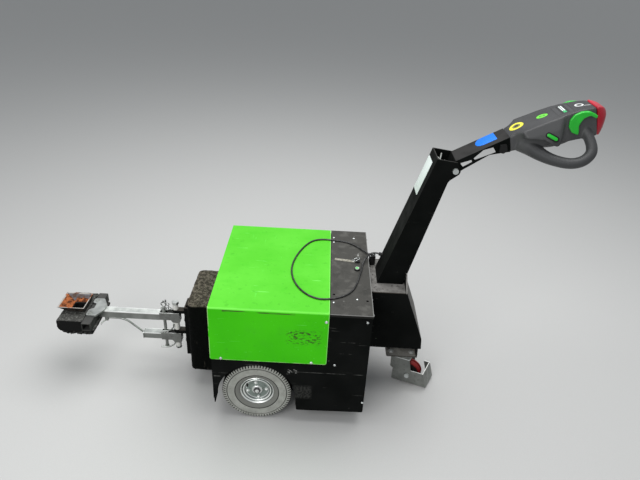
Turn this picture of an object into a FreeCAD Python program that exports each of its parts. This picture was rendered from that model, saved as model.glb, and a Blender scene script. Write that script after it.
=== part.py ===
import FreeCAD, Part
import math
import os

# Electric tow tug, millimetres.
# +X points from the tow head to the tiller, +Y to the left side of a driver who walks
# ahead at the tiller looking along +X, +Z up. Heights are measured from the floor.
# Inside this file X starts at the front edge of the hood and Y at the mid-plane; the
# export moves everything by ORIGIN_X, so that the origin is the centre of the footprint.

V = FreeCAD.Vector
UP = V(0, 0, 1)
ACROSS = V(0, 1, 0)

# ---------------------------------------------------------------- driving dimensions

BODY_LENGTH = 566.0
BODY_WIDTH = 595.0
TOP_HEIGHT = 522.0
SKIRT_BOTTOM = 64.0
HOOD_LENGTH = 416.0
HOOD_DROP = 226.0
HOOD_SHEET = 2.0
HOOD_BEND = 7.0
PANEL_SHEET = 3.0
PANEL_LIP = 12.0
PANEL_HOLE = 9.0
PANEL_HOLES = ((430.0, -181.0), (548.0, -212.0))
SEAM = 2.0
FRAME_PLATE = 4.0
FIT = 1.5

AXLE_X = 164.75
WHEEL_DIAMETER = 260.0
TYRE_WIDTH = 80.0
FLANGE_DIAMETER = 125.0
BEAD_DIAMETER = 102.0
STUD_CIRCLE = 70.0
WHEEL_RECESS = 16.0
ARCH_CLEARANCE = 13.0
RAIL_HALF_WIDTH = 172.0
RAIL_HEIGHT = 60.0
AXLE_TUBE_DIAMETER = 50.0
AXLE_DIAMETER = 20.0
RUNNING_FIT = 0.2
GEARBOX_LENGTH = 150.0
GEARBOX_WIDTH = 130.0
GEARBOX_HEIGHT = 130.0
MOTOR_DIAMETER = 100.0
MOTOR_LENGTH = 190.0

BATTERY_LENGTH = 345.0
BATTERY_WIDTH = 330.0
BATTERY_HEIGHT = 225.0

BALLAST_LENGTH = 110.0
BALLAST_WIDTH = 254.0
BALLAST_TOP = 398.0
BALLAST_BOTTOM = 82.0
BALLAST_GAP = 8.0
BALLAST_CORNER = 22.0

HINGE_X = -194.0
HINGE_PIN_DIAMETER = 16.0
BARREL_DIAMETER = 26.0
SLEEVE_DIAMETER = 22.0
SLEEVE_TOP = 310.0
SLEEVE_FOOT = 100.0
UPPER_LUG = 14.0
LOWER_LUG = 16.0
CHANNEL_WIDTH = 70.0
CHANNEL_DEPTH = 34.0
CHANNEL_WALL = 6.0
UPPER_KNUCKLE_TOP = 271.0
LOWER_KNUCKLE_TOP = 170.0
KNUCKLE_HEIGHT = 46.0
KNUCKLE_STEP = 12.0
KNUCKLE_WALL = 4.0
HINGE_GAP = 0.5
ARM_TUBE = 31.0
ARM_WALL = 3.0
ARM_END_X = -480.0
LOWER_TUBE_END_X = -331.0
LOWER_TUBE_HEIGHT = 26.0
LATCH_X = -243.0
LATCH_DIAMETER = 12.0

CROSS_TUBE = 35.0
CROSS_TUBE_WALL = 3.0
CROSS_TUBE_X = -522.0
CROSS_TUBE_LENGTH = 208.0
CROSS_TUBE_TOP = 267.0
HEAD_PLATE = 7.0
PAD_FRONT_X = -640.0
PAD_HALF_WIDTH = 96.0
PAD_TOP = 272.0
PAD_BOTTOM = 206.0
FUNNEL_LENGTH = 106.0
FUNNEL_WIDTH = 103.0
FUNNEL_X = -596.0
FUNNEL_TOP = 301.0
FUNNEL_WALL = 3.0
FUNNEL_FLOOR_X = -582.0
FUNNEL_FLOOR = 68.0
SOCKET_SIZE = 54.0

BRACKET_HALF_WIDTH = 119.0
BRACKET_TOP = 497.0
BRACKET_SIDE_BOTTOM = 242.0
BRACKET_PLATE = 5.0
BRACKET_REACH = 219.0
GUSSET_TOP = 548.0
CASTOR_HALF_WIDTH = 78.0
CASTOR_PLATE_LENGTH = 119.0
CASTOR_PLATE_TOP = 169.0

COLUMN_HALF_WIDTH = 56.0
COLUMN_WALL = 4.0
COLUMN_FOOT_FRONT = 593.0
COLUMN_FOOT_REAR = 690.0
COLUMN_LEAN = 0.3045
COLUMN_REAR_LEAN = 0.2458
COLUMN_TOP = 1003.0
COLUMN_REAR_TOP = 925.0
PIVOT_X = 813.0
PIVOT_Z = 964.0
PIVOT_BOLT = 12.0
EAR_RADIUS = 22.0

CASTOR_X = 723.0
CASTOR_WHEEL_DIAMETER = 100.0
CASTOR_WHEEL_WIDTH = 32.0
CASTOR_TRAIL = 55.0
CASTOR_TURN = -20.6
FORK_INSIDE = 38.5
FORK_PLATE = 3.5
FORK_CROWN_TOP = 131.0
GUARD_SHEET = 3.0
GUARD_TOP = 75.0
GUARD_BOTTOM = 9.0
GUARD_FAR_SIDE = 50.0
GUARD_REACH = 138.5
GUARD_SLOPE = 19.0
GUARD_SKEW = 9.5

ARM_HALF_WIDTH = 46.0
HEAD_TILT = 21.5
GRIP_DIAMETER = 36.0
GRIP_DROOP = 50.0
HEAD_LENGTH = 284.0
WING_HALF_WIDTH = 90.0
LEVER_OUTER = 66.0
LEVER_WIDTH = 20.0
SWITCH_BULGE = 37.0

CABLE_DIAMETER = 6.5
CABLE_REST = 0.35

# ---------------------------------------------------------------- derived values

HALF_WIDTH = BODY_WIDTH / 2
SKIRT_OUTER = HALF_WIDTH - HOOD_SHEET - FIT
WHEEL_RADIUS = WHEEL_DIAMETER / 2
WHEEL_OUTER = HALF_WIDTH - WHEEL_RECESS
WHEEL_INNER = WHEEL_OUTER - TYRE_WIDTH
WHEEL_MIDDLE = (WHEEL_OUTER + WHEEL_INNER) / 2
ARCH_RADIUS = WHEEL_RADIUS + ARCH_CLEARANCE
REAR_WALL_X = BODY_LENGTH - PANEL_SHEET - FRAME_PLATE
BALLAST_FRONT = -BALLAST_GAP - BALLAST_LENGTH
AXLE_TUBE_END = WHEEL_INNER - 6
BATTERY_BOTTOM = WHEEL_RADIUS + AXLE_TUBE_DIAMETER / 2 + 4 + RAIL_HEIGHT
FRONT_X = FUNNEL_X - FUNNEL_LENGTH / 2
TILLER_END_X = 1289.0
ORIGIN_X = (FRONT_X + TILLER_END_X) / 2


# ---------------------------------------------------------------- shape helpers

def place(plane, a, b, height):
    """A point of a flat outline: (a, b) in the named plane, at a height along its normal."""
    if plane == "xy":
        return V(a, b, height)
    if plane == "xz":
        return V(a, height, b)
    return V(height, a, b)


def outline(plane, corners, height):
    """A closed wire through corners (a, b, radius), each rounded by a tangent arc."""
    points = [place(plane, a, b, height) for a, b, _ in corners]
    radii = [corner[2] for corner in corners]
    starts, ends = [], []
    arcs = []
    count = len(points)
    for i in range(count):
        before, point, after = points[i - 1], points[i], points[(i + 1) % count]
        to_before = (before - point).normalize()
        to_after = (after - point).normalize()
        half = to_before.getAngle(to_after) / 2
        if radii[i] <= 0:
            starts.append(point)
            ends.append(point)
            arcs.append(None)
            continue
        reach = radii[i] / math.tan(half)
        start = point + to_before * reach
        end = point + to_after * reach
        middle_way = (to_before + to_after).normalize()
        middle = point + middle_way * (radii[i] / math.sin(half) - radii[i])
        starts.append(start)
        ends.append(end)
        arcs.append(Part.Arc(start, middle, end).toShape())
    edges = []
    for i in range(count):
        if arcs[i] is not None:
            edges.append(arcs[i])
        following = starts[(i + 1) % count]
        if (following - ends[i]).Length > 1e-6:
            edges.append(Part.LineSegment(ends[i], following).toShape())
    return Part.Wire(edges)


def plate(plane, corners, low, high):
    """A flat piece: a rounded outline in a plane, from low to high along its normal."""
    normal = {"xy": UP, "xz": ACROSS, "yz": V(1, 0, 0)}[plane]
    face = Part.Face(outline(plane, corners, low))
    return face.extrude(normal * (high - low))


def block(x0, x1, y0, y1, z0, z1):
    return Part.makeBox(x1 - x0, y1 - y0, z1 - z0, V(x0, y0, z0))


def rod(centre, direction, diameter, length):
    return Part.makeCylinder(diameter / 2, length, centre, direction)


def ring(centre, direction, outer, inner, length):
    return rod(centre, direction, outer, length).cut(rod(centre, direction, inner, length))


def hexagon(plane, a, b, flats, low, high):
    """A hexagonal head of the given width across flats."""
    reach = flats / math.sqrt(3)
    turns = [math.radians(60 * i) for i in range(6)]
    return plate(plane, [(a + reach * math.cos(turn), b + reach * math.sin(turn), 0)
                         for turn in turns], low, high)


def rounded(corners, radius):
    return [(a, b, radius) for a, b in corners]


def mirror(shape):
    return shape.mirror(V(0, 0, 0), ACROSS)


def union(first, *others):
    return first.fuse(list(others)).removeSplitter()


def curved_path(points, share=0.45):
    """Straight runs joined by tangent arcs, each as large as its two runs allow."""
    edges = []
    radii = []
    here = points[0]
    for i in range(1, len(points) - 1):
        back = points[i - 1] - points[i]
        ahead = points[i + 1] - points[i]
        half_turn = (math.pi - back.getAngle(ahead)) / 2
        reach = share * min(back.Length, ahead.Length)
        radius = reach / math.tan(half_turn)
        radii.append(radius)
        back.normalize()
        ahead.normalize()
        start = points[i] + back * reach
        end = points[i] + ahead * reach
        inward = (back + ahead).normalize()
        middle = points[i] + inward * (radius / math.cos(half_turn) - radius)
        edges.append(Part.LineSegment(here, start).toShape())
        edges.append(Part.Arc(start, middle, end).toShape())
        here = end
    edges.append(Part.LineSegment(here, points[-1]).toShape())
    return Part.Wire(edges), radii


def round_bar(points, diameter):
    """A round bar or tube of solid section along a route of points."""
    path, radii = curved_path(points)
    direction = points[1] - points[0]
    section = Part.Wire(Part.makeCircle(diameter / 2, points[0], direction))
    solid = path.makePipeShell([section], True, True)
    return solid, path, radii


pieces = {}


def keep(name, shape):
    """Register a finished piece, moved to the origin of the part."""
    shape = shape.copy()
    shape.translate(V(-ORIGIN_X, 0, 0))
    pieces[name] = shape


# ---------------------------------------------------------------- body panels and frame

def side_plate():
    """The right-hand side plate, a laser-cut sheet with an open wheel arch."""
    top = TOP_HEIGHT - PANEL_LIP - 2
    rear = BODY_LENGTH - FIT
    front, back = AXLE_X - ARCH_RADIUS, AXLE_X + ARCH_RADIUS
    tip = SKIRT_BOTTOM + 18
    skirt = [(FRAME_PLATE, top, 0), (rear, top, 6), (rear, SKIRT_BOTTOM + 4, 6),
             (back + 6, SKIRT_BOTTOM, 6), (back, WHEEL_RADIUS, 0), (front, WHEEL_RADIUS, 0),
             (FRAME_PLATE + 7, tip, 1), (FRAME_PLATE + 4, tip, 1), (FRAME_PLATE, 213, 0)]
    sheet = plate("xz", skirt, -SKIRT_OUTER, -SKIRT_OUTER + FRAME_PLATE)
    arch = rod(V(AXLE_X, -SKIRT_OUTER - 1, WHEEL_RADIUS), ACROSS, 2 * ARCH_RADIUS,
               FRAME_PLATE + 2)
    return sheet.cut(arch)


def hood():
    """Folded green hood: top, two sides and a front flange, open towards the rear."""
    low = TOP_HEIGHT - HOOD_DROP
    outer = plate("yz", [(-HALF_WIDTH, low, 0), (-HALF_WIDTH, TOP_HEIGHT, HOOD_BEND),
                         (HALF_WIDTH, TOP_HEIGHT, HOOD_BEND), (HALF_WIDTH, low, 0)],
                  0, HOOD_LENGTH)
    inner_half = HALF_WIDTH - HOOD_SHEET
    inner_top = TOP_HEIGHT - HOOD_SHEET
    bend = HOOD_BEND - HOOD_SHEET
    inner = plate("yz", [(-inner_half, low - 1, 0), (-inner_half, inner_top, bend),
                         (inner_half, inner_top, bend), (inner_half, low - 1, 0)],
                  HOOD_SHEET, HOOD_LENGTH + 1)
    shell = outer.cut(inner)
    corner = 8.0
    trim = plate("xz", [(-1, low - 1, 0), (HOOD_LENGTH + 1, low - 1, 0),
                        (HOOD_LENGTH + 1, low + corner, 0), (HOOD_LENGTH, low + corner, 0),
                        (HOOD_LENGTH, low, corner), (0, low, corner),
                        (0, low + corner, 0), (-1, low + corner, 0)],
                 -HALF_WIDTH - 1, HALF_WIDTH + 1)
    return shell.cut(trim)


def top_panel():
    """Black control panel behind the hood, folded down at the sides and the rear."""
    x0 = HOOD_LENGTH + SEAM
    outer = plate("yz", [(-HALF_WIDTH, TOP_HEIGHT - PANEL_LIP, 0),
                         (-HALF_WIDTH, TOP_HEIGHT, HOOD_BEND),
                         (HALF_WIDTH, TOP_HEIGHT, HOOD_BEND),
                         (HALF_WIDTH, TOP_HEIGHT - PANEL_LIP, 0)], x0, BODY_LENGTH)
    inner = block(x0 - 1, BODY_LENGTH - PANEL_SHEET, -HALF_WIDTH + PANEL_SHEET,
                  HALF_WIDTH - PANEL_SHEET, TOP_HEIGHT - PANEL_LIP - 1,
                  TOP_HEIGHT - PANEL_SHEET)
    holes = [rod(V(x, y, TOP_HEIGHT - 10), UP, PANEL_HOLE, 20) for x, y in PANEL_HOLES]
    return outer.cut(inner).cut(Part.makeCompound(holes))


def end_plate(x0, bottom, top):
    """Front or rear wall of the frame, between the two side plates."""
    half = SKIRT_OUTER - FRAME_PLATE
    return block(x0, x0 + FRAME_PLATE, -half, half, bottom, top)


def floor_plate():
    """Belly plate behind the drive wheels."""
    half = SKIRT_OUTER - FRAME_PLATE
    x0 = AXLE_X + ARCH_RADIUS + 20
    return block(x0, REAR_WALL_X, -half, half,
                 SKIRT_BOTTOM + 6, SKIRT_BOTTOM + 6 + FRAME_PLATE)


def frame_rail(side):
    """Longitudinal rail inside the wheels, a C channel that carries the axle."""
    x0 = 2 * FRAME_PLATE
    x1 = REAR_WALL_X
    z0 = WHEEL_RADIUS + AXLE_TUBE_DIAMETER / 2 + 4
    depth = 30.0
    inner, outer = RAIL_HALF_WIDTH - depth, RAIL_HALF_WIDTH
    rail = block(x0, x1, inner, outer, z0, z0 + RAIL_HEIGHT)
    hollow = block(x0 - 1, x1 + 1, inner - 1, outer - FRAME_PLATE, z0 + FRAME_PLATE,
                   z0 + RAIL_HEIGHT - FRAME_PLATE)
    rail = rail.cut(hollow)
    return rail if side > 0 else mirror(rail)


def battery_pack():
    x1 = REAR_WALL_X - FRAME_PLATE
    return block(x1 - BATTERY_LENGTH, x1, -BATTERY_WIDTH / 2, BATTERY_WIDTH / 2,
                 BATTERY_BOTTOM, BATTERY_BOTTOM + BATTERY_HEIGHT)


def transaxle():
    """Gear case with two axle tubes and the saddles that hang it under the rails."""
    case = block(AXLE_X - GEARBOX_LENGTH / 2, AXLE_X + GEARBOX_LENGTH / 2,
                 -GEARBOX_WIDTH / 2, GEARBOX_WIDTH / 2,
                 WHEEL_RADIUS - GEARBOX_HEIGHT / 2 + 12, WHEEL_RADIUS + GEARBOX_HEIGHT / 2 - 12)
    case = case.makeFillet(14, case.Edges)
    tube = rod(V(AXLE_X, -AXLE_TUBE_END, WHEEL_RADIUS), ACROSS, AXLE_TUBE_DIAMETER,
               2 * AXLE_TUBE_END)
    shaft_end = WHEEL_MIDDLE + 28
    shaft = rod(V(AXLE_X, -shaft_end, WHEEL_RADIUS), ACROSS, AXLE_DIAMETER, 2 * shaft_end)
    nuts = []
    for low, high in ((-shaft_end - 5, -shaft_end), (shaft_end, shaft_end + 5)):
        nuts.append(hexagon("xz", AXLE_X, WHEEL_RADIUS, 24, low, high))
    rail_bottom = WHEEL_RADIUS + AXLE_TUBE_DIAMETER / 2 + 4
    saddles = []
    for side in (-1, 1):
        middle = side * (RAIL_HALF_WIDTH - 15)
        saddles.append(block(AXLE_X - 35, AXLE_X + 35, middle - 12, middle + 12,
                             WHEEL_RADIUS, rail_bottom))
    return union(case, tube, shaft, *saddles, *nuts)


def drive_motor():
    x0 = AXLE_X + GEARBOX_LENGTH / 2
    z = (SKIRT_BOTTOM + 6 + FRAME_PLATE + BATTERY_BOTTOM) / 2
    return rod(V(x0, 0, z), V(1, 0, 0), MOTOR_DIAMETER, MOTOR_LENGTH)


# ---------------------------------------------------------------- drive wheels

def wheel_profile(points):
    """Revolve (radius, offset from the wheel's middle, corner radius) about the drive axle."""
    corners = [(AXLE_X + radius, -WHEEL_MIDDLE + offset, corner)
               for radius, offset, corner in points]
    face = Part.Face(outline("xy", corners, WHEEL_RADIUS))
    return face.revolve(V(AXLE_X, 0, WHEEL_RADIUS), ACROSS, 360)


def tyre(side):
    """Pneumatic tyre: beads on the rim, flat side walls, square shoulders, flat crown."""
    half = TYRE_WIDTH / 2
    seat, flange = BEAD_DIAMETER / 2, FLANGE_DIAMETER / 2
    outer = [(seat, -24, 0), (flange, -28, 0), (flange + 3, -half + 7, 0),
             (flange + 22, -half, 0), (WHEEL_RADIUS - 12, -half, 0),
             (WHEEL_RADIUS - 3, -half + 3, 0), (WHEEL_RADIUS, -half + 8, 0)]
    inner = [(radius, -offset, corner) for radius, offset, corner in reversed(outer)]
    shape = wheel_profile(outer + inner)
    return shape if side < 0 else mirror(shape)


def rim(side):
    """Pressed rim with flanges, a dished disc, a hub and four clamping nuts."""
    bore = (AXLE_DIAMETER + RUNNING_FIT) / 2
    seat, flange = BEAD_DIAMETER / 2, FLANGE_DIAMETER / 2
    points = [(bore, -27), (19, -27), (19, -20), (seat - 8, -20), (seat - 4, -27),
              (seat + 3, -27), (flange - 5, -31), (flange, -31), (flange, -28), (seat, -24),
              (seat, 24), (flange, 28), (flange, 31), (flange - 5, 31), (seat - 4, 26),
              (seat - 4, -17), (24, -17), (24, 40), (bore, 40)]
    face = -WHEEL_MIDDLE - 20
    nuts = []
    for i in range(4):
        turn = math.radians(8 + 90 * i)
        nuts.append(hexagon("xz", AXLE_X + STUD_CIRCLE / 2 * math.cos(turn),
                            WHEEL_RADIUS + STUD_CIRCLE / 2 * math.sin(turn), 12,
                            face - 6, face + 1))
    shape = union(wheel_profile([(*point, 0) for point in points]), *nuts)
    return shape if side < 0 else mirror(shape)


# ---------------------------------------------------------------- ballast and hitch hinge

def ballast_box():
    half = BALLAST_WIDTH / 2
    rear = -BALLAST_GAP
    body = plate("xy", rounded([(BALLAST_FRONT, -half), (rear, -half), (rear, half),
                                (BALLAST_FRONT, half)], BALLAST_CORNER),
                 BALLAST_BOTTOM, BALLAST_TOP)
    feet = []
    for y in (-half + 50, half - 50):
        feet.append(block(rear, FRAME_PLATE, y - 25, y + 25, 230, 286))
        feet.append(block(rear, FRAME_PLATE, y - 25, y + 25, 110, 170))
    return union(body, *feet)


def hitch_bracket():
    """Upright channel on the ballast box with a hinge lug above each knuckle."""
    front = BALLAST_FRONT - CHANNEL_DEPTH
    half = CHANNEL_WIDTH / 2
    channel = block(front, BALLAST_FRONT, -half, half, 84, SLEEVE_TOP + 6)
    channel = channel.cut(block(front + CHANNEL_WALL, BALLAST_FRONT + 1, -half + CHANNEL_WALL,
                                half - CHANNEL_WALL, 83, SLEEVE_TOP + 7))
    parts = []
    for top, depth in ((UPPER_KNUCKLE_TOP, UPPER_LUG), (LOWER_KNUCKLE_TOP, LOWER_LUG)):
        low, high = top + HINGE_GAP, top + depth
        barrel = rod(V(HINGE_X, 0, low), UP, BARREL_DIAMETER, high - low)
        web = block(HINGE_X, front, -BARREL_DIAMETER / 2, BARREL_DIAMETER / 2, low, high)
        parts.append(barrel)
        parts.append(web)
    bolts = []
    for z in (150, 250):
        bolts.append(rod(V(front - 4, -22, z), V(1, 0, 0), 14, 5))
        bolts.append(rod(V(front - 4, 22, z), V(1, 0, 0), 14, 5))
    bore = rod(V(HINGE_X, 0, 0), UP, HINGE_PIN_DIAMETER, 400)
    return union(channel, *parts, *bolts).cut(bore)


def hinge_pin():
    """Long bolt with a spacer sleeve on the upper lug and a nut at the foot."""
    lug = UPPER_KNUCKLE_TOP + UPPER_LUG
    shank = rod(V(HINGE_X, 0, SLEEVE_FOOT - 12), UP, HINGE_PIN_DIAMETER,
                SLEEVE_TOP + 12 - SLEEVE_FOOT)
    cap = hexagon("xy", HINGE_X, 0, 24, SLEEVE_TOP, SLEEVE_TOP + 11)
    sleeve = rod(V(HINGE_X, 0, lug), UP, SLEEVE_DIAMETER, SLEEVE_TOP - lug)
    nut = hexagon("xy", HINGE_X, 0, 20, SLEEVE_FOOT - 9, SLEEVE_FOOT)
    return union(shank, cap, sleeve, nut)


# ---------------------------------------------------------------- tow arm

def knuckle(top):
    """Folded channel, open at the top and stepped below, with a barrel for the pin."""
    half = ARM_TUBE / 2
    tail = LATCH_X - 16
    nose = HINGE_X + 16
    low = top - KNUCKLE_HEIGHT
    step = low + KNUCKLE_STEP
    wall = KNUCKLE_WALL
    trough = plate("xz", [(tail, step, 2), (HINGE_X - 20, step, 4), (HINGE_X - 12, low, 4),
                          (nose, low, 2), (nose, top, 2), (tail, top, 2)], -half, half)
    trough = trough.cut(block(tail - 1, nose + 1, -half + wall, half - wall, step + wall,
                              top + 1))
    barrel = rod(V(HINGE_X, 0, low), UP, ARM_TUBE - 2 * wall + 2, KNUCKLE_HEIGHT)
    eye = rod(V(LATCH_X, 0, step), UP, 18, top - 4 - step)
    shape = union(trough, barrel, eye)
    shape = shape.cut(rod(V(HINGE_X, 0, low - 1), UP, HINGE_PIN_DIAMETER + RUNNING_FIT,
                          KNUCKLE_HEIGHT + 2))
    return shape.cut(rod(V(LATCH_X, 0, low - 1), UP, LATCH_DIAMETER, KNUCKLE_HEIGHT + 2))


def square_tube(x0, x1, half_width, low, high, wall):
    tube = block(x0, x1, -half_width, half_width, low, high)
    return tube.cut(block(x0 - 1, x1 + 1, -half_width + wall, half_width - wall,
                          low + wall, high - wall))


def main_tube():
    tail = LATCH_X - 16
    top = CROSS_TUBE_TOP
    return square_tube(CROSS_TUBE_X + CROSS_TUBE / 2, tail, ARM_TUBE / 2, top - ARM_TUBE, top,
                       ARM_WALL)


def lower_tube():
    tail = LATCH_X - 16
    half = ARM_TUBE / 2
    top = LOWER_KNUCKLE_TOP - 3
    low = top - LOWER_TUBE_HEIGHT
    tube = square_tube(LOWER_TUBE_END_X, tail, half, low, top, ARM_WALL)
    cap = plate("yz", rounded([(-half - 1.5, low - 1.5), (half + 1.5, low - 1.5),
                               (half + 1.5, top + 1.5), (-half - 1.5, top + 1.5)], 3),
                LOWER_TUBE_END_X - 3, LOWER_TUBE_END_X)
    return union(tube, cap)


def hinge_sleeves():
    """Two spacer sleeves that turn on the hinge pin under the knuckles."""
    sleeves = []
    for knuckle_top, foot in ((UPPER_KNUCKLE_TOP, LOWER_KNUCKLE_TOP + LOWER_LUG + HINGE_GAP),
                              (LOWER_KNUCKLE_TOP, SLEEVE_FOOT + HINGE_GAP)):
        height = knuckle_top - KNUCKLE_HEIGHT - foot
        sleeves.append(ring(V(HINGE_X, 0, foot), UP, SLEEVE_DIAMETER,
                            HINGE_PIN_DIAMETER + RUNNING_FIT, height))
    return Part.makeCompound(sleeves)


def latch_pin():
    """Long drop pin through both knuckles, with a cross pin above and a foot below."""
    shank = rod(V(LATCH_X, 0, 90), UP, LATCH_DIAMETER, 202)
    collar = rod(V(LATCH_X, 0, UPPER_KNUCKLE_TOP - 4), UP, 18, 9)
    foot = rod(V(LATCH_X, 0, 90), UP, 17, 7)
    cross = rod(V(LATCH_X - 12, 0, 285), V(1, 0, 0), 5, 24)
    return union(shank, collar, foot, cross)


def release_rods():
    """Two bent release rods beside the latch pin, above and below the lower knuckle."""
    top = LOWER_KNUCKLE_TOP
    low = top - KNUCKLE_HEIGHT
    upper, _, _ = round_bar([V(LATCH_X - 22, -9, top + 2), V(LATCH_X + 14, -9, top + 8),
                             V(HINGE_X - 13, -9, top + 26), V(HINGE_X - 11, -9, top + 44)], 6)
    lower, _, _ = round_bar([V(LATCH_X - 24, -9, 93), V(LATCH_X + 12, -9, 93),
                             V(HINGE_X - 14, -9, 111), V(HINGE_X - 10, -9, low + 2)], 6)
    taken = union(knuckle(top), latch_pin())
    return Part.makeCompound([upper.cut(taken), lower.cut(taken)])


def brace_rod():
    """Bent rod from the lower tube's flange to a lug under the main tube."""
    flange = LOWER_TUBE_END_X - 3
    bar, _, _ = round_bar([V(flange + 3, 0, LOWER_KNUCKLE_TOP - 16), V(-406, 0, 224),
                           V(-472, 0, 224)], 8)
    bar = bar.cut(block(flange, 0, -30, 30, 0, 400))
    lug = block(-484, -472, -9, 9, 214, CROSS_TUBE_TOP - ARM_TUBE)
    link, _, _ = round_bar([V(-478, -6, 219), V(-489, -20, 217), V(-493.5, -34, 213)], 5)
    return union(bar, lug, link.cut(block(-540, -493.5, -60, 0, 200, 240)))


def cross_tube():
    half = CROSS_TUBE_LENGTH / 2
    x0 = CROSS_TUBE_X - CROSS_TUBE / 2
    tube = block(x0, x0 + CROSS_TUBE, -half, half, CROSS_TUBE_TOP - CROSS_TUBE, CROSS_TUBE_TOP)
    wall = CROSS_TUBE_WALL
    return tube.cut(block(x0 + wall, x0 + CROSS_TUBE - wall, -half - 1, half + 1,
                          CROSS_TUBE_TOP - CROSS_TUBE + wall, CROSS_TUBE_TOP - wall))


def head_plate():
    """Flat jaw plate on the cross tube."""
    corners = [(-478, -18, 0), (-500, -57, 6), (-538, -57, 8), (-539, -20, 12),
               (-521, -8, 8), (-521, 22, 8), (-538, 28, 6), (-539, 58, 8), (-500, 58, 6),
               (-478, 18, 0)]
    return plate("xy", corners, CROSS_TUBE_TOP, CROSS_TUBE_TOP + HEAD_PLATE)


def rubber_pad():
    x1 = CROSS_TUBE_X - CROSS_TUBE / 2
    corners = [(PAD_FRONT_X, PAD_TOP, 6), (x1, PAD_TOP, 0),
               (x1, CROSS_TUBE_TOP - CROSS_TUBE, 0),
               (x1 + 46, CROSS_TUBE_TOP - CROSS_TUBE, 6), (x1 + 36, PAD_BOTTOM, 14),
               (PAD_FRONT_X + 20, PAD_BOTTOM, 30), (PAD_FRONT_X, PAD_BOTTOM + 26, 14)]
    pad = plate("xz", corners, -PAD_HALF_WIDTH, PAD_HALF_WIDTH)
    return pad.cut(socket_space(PAD_BOTTOM - 1, PAD_TOP + 1))


def socket_space(low, high):
    half = SOCKET_SIZE / 2
    return block(FUNNEL_FLOOR_X - half, FUNNEL_FLOOR_X + half, -half, half, low, high)


def rectangle(x, y, z, length, width):
    points = [V(x - length / 2, y - width / 2, z), V(x + length / 2, y - width / 2, z),
              V(x + length / 2, y + width / 2, z), V(x - length / 2, y + width / 2, z)]
    return Part.makePolygon(points + points[:1])


def funnel_loft(low, high, inset):
    """The funnel's outer or inner form: a small floor lofted to the wide rim."""
    floor = FUNNEL_FLOOR - 2 * inset
    return Part.makeLoft([rectangle(FUNNEL_FLOOR_X, 0, low, floor, floor),
                          rectangle(FUNNEL_X, 0, high, FUNNEL_LENGTH - 2 * inset,
                                    FUNNEL_WIDTH - 2 * inset)], True, True)


def catch_funnel():
    """Sheet-metal hopper with a square hole, standing on the rubber pad."""
    outer = funnel_loft(PAD_TOP, FUNNEL_TOP, 0)
    inner = funnel_loft(PAD_TOP + FUNNEL_WALL, FUNNEL_TOP + 0.01, FUNNEL_WALL)
    hopper = outer.cut(inner).cut(socket_space(PAD_TOP - 1, PAD_TOP + 10))
    return union(hopper, catch_ramp())


def catch_ramp():
    """Guide wedge with a peaked top against the funnel's left wall."""
    low = PAD_TOP + FUNNEL_WALL
    edge = SOCKET_SIZE / 2 - 1
    slope = plate("yz", [(edge, low, 0), (46, FUNNEL_TOP - 8, 0), (56, FUNNEL_TOP - 8, 0),
                         (56, low, 0)], FUNNEL_FLOOR_X - 40, FUNNEL_FLOOR_X + 40)
    peak = plate("xz", [(FUNNEL_FLOOR_X - 30, low, 0), (FUNNEL_FLOOR_X - 18, FUNNEL_TOP - 8, 3),
                        (FUNNEL_FLOOR_X + 29, FUNNEL_TOP - 18, 0),
                        (FUNNEL_FLOOR_X + 29, low, 0)], 0, 60)
    return slope.common(peak).common(funnel_loft(low, FUNNEL_TOP + 0.01, FUNNEL_WALL))


# ---------------------------------------------------------------- bracket and column

def bracket_side(side):
    """Side cheek of the column bracket."""
    rear_top = COLUMN_FOOT_REAR + 12
    rear = BODY_LENGTH + BRACKET_REACH
    corners = [(BODY_LENGTH, BRACKET_TOP, 0), (rear_top, BRACKET_TOP, 0), (rear - 4, 290, 20),
               (rear, BRACKET_SIDE_BOTTOM, 4), (BODY_LENGTH, BRACKET_SIDE_BOTTOM, 0)]
    outer = BRACKET_HALF_WIDTH
    cheek = plate("xz", corners, -outer, -outer + BRACKET_PLATE)
    return cheek if side < 0 else mirror(cheek)


def bracket_back():
    """Flange plate that is bolted to the rear wall and carries the column bracket."""
    half = BRACKET_HALF_WIDTH
    return block(BODY_LENGTH - PANEL_SHEET, BODY_LENGTH, -half, half,
                 BRACKET_SIDE_BOTTOM, BRACKET_TOP)


def bracket_top():
    inner = BRACKET_HALF_WIDTH - BRACKET_PLATE
    deck = block(BODY_LENGTH, COLUMN_FOOT_REAR + 12, -inner, inner,
                 BRACKET_TOP - BRACKET_PLATE, BRACKET_TOP)
    return deck.cut(bracket_rear())


def bracket_rear():
    """Sloping rear plate: a gusset behind the column above, the castor plate below."""
    rear = BODY_LENGTH + BRACKET_REACH
    thick = BRACKET_PLATE
    inner = BRACKET_HALF_WIDTH - BRACKET_PLATE
    top_x = COLUMN_FOOT_REAR + 12
    corners = [(top_x, BRACKET_TOP, 0), (rear - 4, 290, 20),
               (rear, CASTOR_PLATE_TOP - 6, 0), (rear - thick, CASTOR_PLATE_TOP - 6, 0),
               (rear - 4 - thick, 289, 20), (top_x - thick, BRACKET_TOP, 0)]
    skin = plate("xz", corners, -inner, inner)
    for side in (-1, 1):
        y0, y1 = sorted((side * CASTOR_HALF_WIDTH, side * (inner + 1)))
        skin = skin.cut(block(0, rear + 1, y0, y1, 0, BRACKET_SIDE_BOTTOM))
    half = COLUMN_HALF_WIDTH
    gusset = plate("yz", [(-BRACKET_HALF_WIDTH, BRACKET_TOP, 0), (-half, GUSSET_TOP, 6),
                          (half, GUSSET_TOP, 6), (BRACKET_HALF_WIDTH, BRACKET_TOP, 0)],
                   top_x - thick, top_x)
    return union(skin, gusset).cut(column_outer())


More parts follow.
